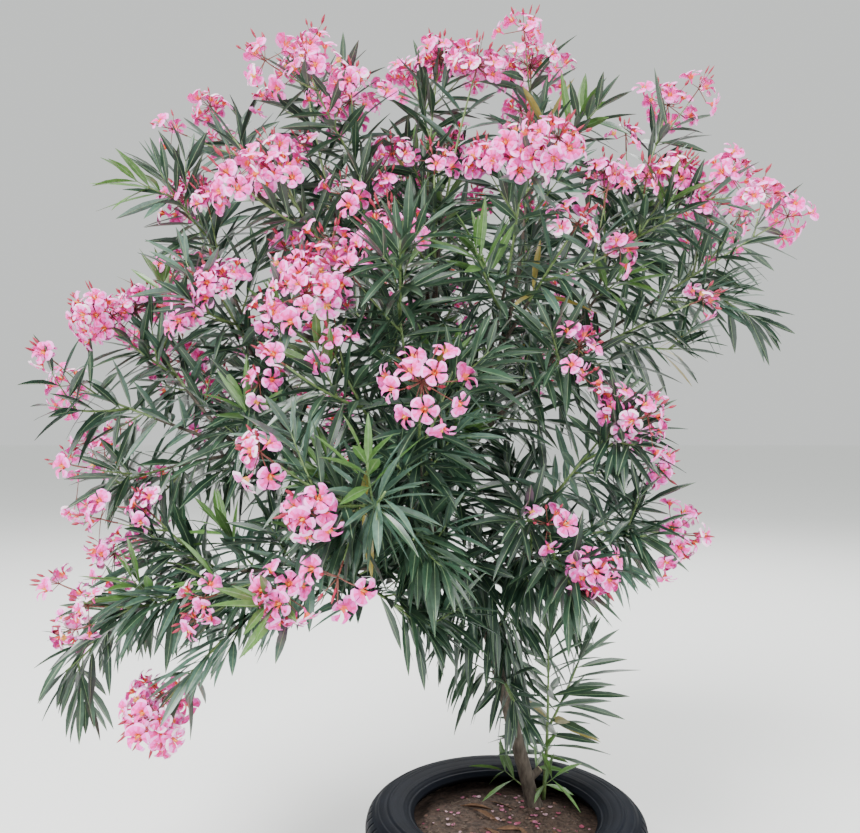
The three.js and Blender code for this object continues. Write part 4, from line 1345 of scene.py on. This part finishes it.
def twig_litter(count):
    """Bent bits of twig that touch the soil at both ends"""
    chance = seeded(631)
    batch = Batch()
    for _ in range(count):
        start = scattered(chance, TWIG_BIT["within"])
        turn, length = 2 * math.pi * chance(), TWIG_BIT["least"] + TWIG_BIT["more"] * chance() ** 3
        reach = about_axis(length, turn)
        if np.linalg.norm((start + reach)[:2]) > BEAD_FOOT:
            reach = -reach
        end = on_soil(*(start + reach)[:2])
        bend = mix(start, end, 0.5)
        bend[2] = max(bend[2], soil_height(bend[0], bend[1])) + TWIG_BIT["bend"]
        girth = mix(*TWIG_BIT["girth"], chance())
        points, faces = tube(bezier(start, bend, end, 6), tapering(girth, girth * 0.6), "fine")
        batch.add([points + UP * girth * 0.7], faces)
    return batch


def dry_leaves(count):
    """Fallen brown leaves lying on the soil"""
    chance = seeded(733)
    leaves = []
    for _ in range(count):
        root = scattered(chance, DRY_LEAF["within"]) + UP * DRY_LEAF["lift"]
        turn = 2 * math.pi * chance()
        axis = about_axis(1, turn, 0.03)
        side = np.array([-math.sin(turn), math.cos(turn), mix(*DRY_LEAF["tilt"], chance())])
        if np.linalg.norm((root + axis * DRY_LEAF["length"][1])[:2]) > BEAD_FOOT:
            axis, side = axis * (-1, -1, 1), -side
        length, fold, twist = (mix(*DRY_LEAF[name], chance())
                               for name in ("length", "fold", "twist"))
        leaves.append(Leaf(root, unit(axis), unit(side), length, DRY_LEAF["width"],
                           DRY_LEAF["sag"], fold, twist, "mature"))
    return leaves


def tyre_rubber(settings):
    """Vulcanised rubber with carbon black, moulded: blue-black and satin, and lighter where it
    faces up, partly dust and partly painted top light
    """
    material, tree, shader = new_material("vulcanised_rubber", 0.5, Specular_IOR_Level=0.06)
    place = add_node(tree, "ShaderNodeTexCoord").outputs["Object"]
    cloud = add_node(tree, "ShaderNodeTexNoise", {"Vector": place, "Scale": 14.0, "Detail": 5.0})
    grit = add_node(tree, "ShaderNodeTexNoise", {"Vector": place, "Scale": 420.0, "Detail": 2.0})
    facing = add_node(tree, "ShaderNodeNewGeometry")
    split = add_node(tree, "ShaderNodeSeparateXYZ", {0: facing.outputs["Normal"]})
    # Where the rubber faces up it is painted lighter in clouds, partly dust and partly painted top
    # light, and a thin film of dust is all over
    level = add_node(tree, "ShaderNodeMath", {0: split.outputs["Z"], 1: 0.55},
                     operation="MULTIPLY", use_clamp=True)
    top_light_and_dust = add_node(tree, "ShaderNodeMath", {0: level.outputs[0], 1: cloud.outputs["Fac"]},
                      operation="MULTIPLY")
    film = add_node(tree, "ShaderNodeMath", {0: cloud.outputs["Fac"], 1: 0.16, 2: 0.02},
                    operation="MULTIPLY_ADD")
    both = add_node(tree, "ShaderNodeMath", {0: top_light_and_dust.outputs[0], 1: film.outputs[0]},
                    operation="ADD", use_clamp=True)
    colour = add_node(tree, "ShaderNodeMix", {"Factor": both.outputs[0], "A": settings.rubber[:],
                                              "B": settings.dust_and_top_light[:]}, data_type="RGBA")
    tree.links.new(colour.outputs["Result"], shader.inputs["Base Color"])
    bump = add_node(tree, "ShaderNodeBump", {"Height": grit.outputs["Fac"], "Distance": 0.0003,
                                             "Strength": 0.6})
    tree.links.new(bump.outputs["Normal"], shader.inputs["Normal"])
    return material


# The photograph's camera, and the studio round the plant

PHOTO = {"width": 860, "height": 833, "focal": 810, "horizon": 440}
CAMERA_PLACE = (-170, -1865, 1030)
SENSOR = 36
# Lights, their aim and the floor are in metres
LIGHTS = {
    "key": {"place": (-3.4, -4.4, 6.6), "size": 4.0, "power": 1350},
    "fill": {"place": (4.6, -3.4, 3.6), "size": 4.0, "power": 320},
    "back": {"place": (0.6, 4.6, 5.4), "size": 4.0, "power": 330},
}
LIGHTS_AIM = (-0.15, 0, 1.0)
FLOOR_REACH = 150


def add_camera(scene):
    camera = linked("camera", bpy.data.cameras.new("camera"))
    camera.data.sensor_width = SENSOR
    camera.data.lens = SENSOR * PHOTO["focal"] / PHOTO["width"]
    tilt = math.atan2(PHOTO["horizon"] - PHOTO["height"] / 2, PHOTO["focal"])
    camera.location = Vector(CAMERA_PLACE) * MM
    camera.rotation_euler = (math.pi / 2 + tilt, 0, 0)
    scene.camera = camera


def add_floor(colour):
    """A wide floor of matt paint, which takes soft shadows and shows no glare"""
    mesh = bpy.data.meshes.new("studio_floor")
    corners = [(x * FLOOR_REACH, y * FLOOR_REACH, 0) for x, y in
               ((-1, -1), (1, -1), (1, 1), (-1, 1))]
    mesh.from_pydata(corners, [], [(0, 1, 2, 3)])
    paint, _, shader = new_material("matt_studio_paint", 0.9)
    shader.inputs["Base Color"].default_value = colour
    mesh.materials.append(paint)
    linked("studio_floor", mesh)


def add_lights():
    for name, light in LIGHTS.items():
        lamp = bpy.data.lights.new(name, "AREA")
        lamp.size, lamp.energy = light["size"], light["power"]
        holder = linked(name, lamp)
        holder.location = light["place"]
        aim = Vector(LIGHTS_AIM) - holder.location
        holder.rotation_euler = aim.to_track_quat("-Z", "Y").to_euler()


def add_sky(scene, strength):
    world = bpy.data.worlds.new("studio")
    world.use_nodes = True
    sky = world.node_tree.nodes["Background"]
    sky.inputs["Color"].default_value = linear(0xE9ECEA)
    sky.inputs["Strength"].default_value = strength
    scene.world = world


# Settings a user would change

class TyreSettings(bpy.types.PropertyGroup):
    rubber: bpy.props.FloatVectorProperty(
        name="Rubber", description="Colour of the clean rubber", subtype="COLOR", size=4,
        default=linear(0x08090C), min=0, max=1)
    dust_and_top_light: bpy.props.FloatVectorProperty(
        # This colour is dust and also painted top light, laid where the rubber faces up
        name="Dust", description="Colour of the dust that lies on the sidewall",
        subtype="COLOR", size=4, default=linear(0x1B212E), min=0, max=1)


class SoilSettings(bpy.types.PropertyGroup):
    crumbs: bpy.props.IntProperty(
        name="Crumbs", description="Loose lumps of soil on the surface", default=900, min=1)
    petals: bpy.props.IntProperty(
        name="Fallen petals", description="Single petals lying on the soil", default=120, min=1)
    twigs: bpy.props.IntProperty(
        name="Twig bits", description="Broken twigs lying on the soil", default=60, min=1)
    leaves: bpy.props.IntProperty(
        name="Dry leaves", description="Fallen leaves lying on the soil", default=9, min=1)


class BarkSettings(bpy.types.PropertyGroup):
    skin: bpy.props.FloatProperty(
        name="Skin detail", description="Size of the faces of the bark's skin",
        unit="LENGTH", default=0.0024, min=0.001, max=0.01)


class FoliageSettings(bpy.types.PropertyGroup):
    length: bpy.props.FloatProperty(
        name="Leaf length", description="Length of a full-grown leaf", unit="LENGTH",
        default=0.138, min=0.05, max=0.25)
    width: bpy.props.FloatProperty(
        name="Leaf width", description="Width of a full-grown leaf", unit="LENGTH",
        default=0.0188, min=0.005, max=0.05)
    spacing: bpy.props.FloatProperty(
        name="Whorl spacing", description="Distance between whorls along a twig",
        unit="LENGTH", default=0.027, min=0.01, max=0.1)
    sprigs: bpy.props.FloatProperty(
        name="Sprig spacing", description="Distance between the finest twigs along a twig",
        unit="LENGTH", default=0.06, min=0.03, max=0.5)
    roughness: bpy.props.FloatProperty(
        name="Leaf roughness", description="Roughness of the waxed upper side", default=0.38,
        min=0, max=1, subtype="FACTOR")


class BlossomSettings(bpy.types.PropertyGroup):
    fullness: bpy.props.FloatProperty(
        name="Fullness", description="Open flowers in each cluster, against the usual number",
        default=1.0, min=0.2, max=3)


class StageSettings(bpy.types.PropertyGroup):
    floor: bpy.props.FloatVectorProperty(
        name="Floor", description="Colour of the studio floor", subtype="COLOR", size=4,
        default=linear(0xF6F7F5), min=0, max=1)
    sky: bpy.props.FloatProperty(
        name="Soft light", description="Strength of the even light from all round",
        default=1.0, min=0, max=5)


_grown = {}


def grown_plant(scene):
    """The plant grown from the panel's settings, kept for the next operator"""
    leaf = scene.oleander_foliage
    lengths = (leaf.length, leaf.width, leaf.spacing, leaf.sprigs)
    settings = Settings(*(length / MM for length in lengths), scene.oleander_blossom.fullness)
    if settings not in _grown:
        _grown[settings] = Plant(settings)
    return _grown[settings]


def stood_for(region):
    """The masses whose leaves a region's piece stands for"""
    names = [name for name, mass in MASSES.items() if mass.bough in REGIONS[region]]
    if region == "lower":
        names.append("basal_shoot")
    return [f"mass_{name}" for name in names]


class OLEANDER_OT_tyre(bpy.types.Operator):
    """Mould the tyre, with its sidewall rings, grooves and tread slots"""

    bl_idname = "oleander.tyre"
    bl_label = "Tyre"

    def execute(self, context):
        points = tyre_points()
        faces = quads(*points.shape[:2], True, True)[:, [0, 3, 2, 1]]
        rubber = tyre_rubber(context.scene.oleander_tyre)
        piece_from("tyre_casing", Batch([points.reshape(-1, 3)], faces), [rubber],
                   ["tyre"])
        return {"FINISHED"}


class OLEANDER_OT_soil(bpy.types.Operator):
    """Fill the tyre with lumpy soil, and scatter crumbs, petals, twigs and dry leaves on it"""

    bl_idname = "oleander.soil"
    bl_label = "Soil and litter"

    def execute(self, context):
        settings = context.scene.oleander_soil
        # Garden soil is dark, crumbly and quite matt, with paler dry grains
        earth = mottled("garden_soil", 0x2B201A, 0x58463B, 9, 0.95, 1.2)
        crumb = mottled("dry_soil_crumb", 0x382C24, 0x62544A, 5, 0.95, 0.4)
        piece_from("soil_bed", soil_batch(), [earth], ["soil"])
        piece_from("soil_crumbs", crumb_batch(settings.crumbs), [crumb], smooth=False)
        # Petals fade and brown as they dry
        petals = [
            mottled("fallen_petal_pink", 0x9C506F, 0xBA7691, 4, 0.75),
            mottled("fallen_petal_pale", 0x9E7C84, 0xBC9CA3, 4, 0.75),
            mottled("fallen_petal_red", 0x7C3046, 0x96485F, 4, 0.75),
            mottled("fallen_petal_brown", 0x6A4B40, 0x86675A, 4, 0.85),
        ]
        piece_from("fallen_petals", fallen_petals(settings.petals, len(petals)), petals)
        # Dead twigs are grey-brown and dull
        dead = mottled("dead_twig", 0x453B33, 0x6B5E50, 5, 0.9, 0.3)
        piece_from("twig_litter", twig_litter(settings.twigs), [dead])
        # Dead leaves are papery and brown, midrib and all
        papery = mottled("dry_leaf", 0x553D2B, 0x77583F, 7, 0.8, 0.2)
        leaf_piece("dry_leaves", dry_leaves(settings.leaves), [papery] * (RIB + 1))
        return {"FINISHED"}


class OLEANDER_OT_limbs(bpy.types.Operator):
    """Grow the trunk and boughs as one skin with bark relief"""

    bl_idname = "oleander.limbs"
    bl_label = "Trunk and boughs"

    def execute(self, context):
        limbs = grown_plant(context.scene).limbs
        mesh = limb_skin(limbs, context.scene.oleander_bark.skin)
        mesh.name = "bark_limbs"
        mesh.materials.clear()
        for material in stem_finishes():
            mesh.materials.append(material)
        raise_bark(mesh)
        finish_skin(mesh, stub_path(limbs["trunk"]))
        place_piece("bark_limbs", mesh,
                    ["trunk", *(f"bough_{name}" for name in BOUGHS)])
        return {"FINISHED"}


class OLEANDER_OT_twigs(bpy.types.Operator):
    """Grow the twigs, flower stalks and buds"""

    bl_idname = "oleander.twigs"
    bl_label = "Twigs, stalks and buds"

    def execute(self, context):
        plant = grown_plant(context.scene)
        # Flower stalks and buds are smooth and flushed with red
        stalk = mottled("flower_stalk", 0x66332B, 0x8C5648, 6, 0.55)
        bud = mottled("flower_bud", 0x8A1730, 0xA62E48, 5, 0.5)
        piece_from("twigs", twig_batch(plant.twigs), stem_finishes())
        piece_from("flower_stalks", stalk_batch(plant.growth.stalks), [stalk])
        piece_from("flower_buds", bud_batch(plant.growth.buds), [bud])
        return {"FINISHED"}


class OLEANDER_OT_leaves(bpy.types.Operator):
    """Grow the leaves, region by region"""

    bl_idname = "oleander.leaves"
    bl_label = "Leaves"

    def execute(self, context):
        plant = grown_plant(context.scene)
        finishes = leaf_finishes(context.scene.oleander_foliage.roughness)
        for region, leaves in plant.growth.leaves.items():
            leaf_piece(f"leaves_{region}", leaves, finishes, stood_for(region))
        return {"FINISHED"}


class OLEANDER_OT_flowers(bpy.types.Operator):
    """Open the flowers, region by region"""

    bl_idname = "oleander.flowers"
    bl_label = "Flowers"

    def execute(self, context):
        plant = grown_plant(context.scene)
        finishes = petal_finishes()
        for region, flowers in plant.growth.flowers.items():
            flower_piece(f"flowers_{region}", flowers, finishes)
        return {"FINISHED"}


class OLEANDER_OT_stage(bpy.types.Operator):
    """Set the camera, the floor and soft studio light"""

    bl_idname = "oleander.stage"
    bl_label = "Stage"

    def execute(self, context):
        settings = context.scene.oleander_stage
        add_camera(context.scene)
        add_floor(settings.floor[:])
        add_lights()
        add_sky(context.scene, settings.sky)
        return {"FINISHED"}


class OLEANDER_PT_panel(bpy.types.Panel):
    """The plant's settings and makers"""

    bl_idname = "OLEANDER_PT_panel"
    bl_label = "Potted Oleander"
    bl_space_type = "VIEW_3D"
    bl_region_type = "UI"
    bl_category = "Oleander"

    def draw(self, context):
        for name, (group, operators) in PANEL.items():
            box = self.layout.box()
            settings = getattr(context.scene, name)
            for field in group.__annotations__:
                box.prop(settings, field)
            for operator in operators:
                box.operator(operator.bl_idname)


PANEL = {
    "oleander_stage": (StageSettings, [OLEANDER_OT_stage]),
    "oleander_tyre": (TyreSettings, [OLEANDER_OT_tyre]),
    "oleander_soil": (SoilSettings, [OLEANDER_OT_soil]),
    "oleander_bark": (BarkSettings, [OLEANDER_OT_limbs]),
    "oleander_foliage": (FoliageSettings, [OLEANDER_OT_twigs, OLEANDER_OT_leaves]),
    "oleander_blossom": (BlossomSettings, [OLEANDER_OT_flowers]),
}


def register():
    for name, (group, operators) in PANEL.items():
        bpy.utils.register_class(group)
        setattr(bpy.types.Scene, name, bpy.props.PointerProperty(type=group))
        for operator in operators:
            bpy.utils.register_class(operator)
    bpy.utils.register_class(OLEANDER_PT_panel)


def unregister():
    bpy.utils.unregister_class(OLEANDER_PT_panel)
    for name, (group, operators) in reversed(PANEL.items()):
        for operator in operators:
            bpy.utils.unregister_class(operator)
        delattr(bpy.types.Scene, name)
        bpy.utils.unregister_class(group)


def main():
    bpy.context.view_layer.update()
    register()
    bpy.ops.oleander.stage()
    bpy.ops.oleander.tyre()
    bpy.ops.oleander.soil()
    bpy.ops.oleander.limbs()
    bpy.ops.oleander.twigs()
    bpy.ops.oleander.leaves()
    bpy.ops.oleander.flowers()


if __name__ == "__main__":
    main()
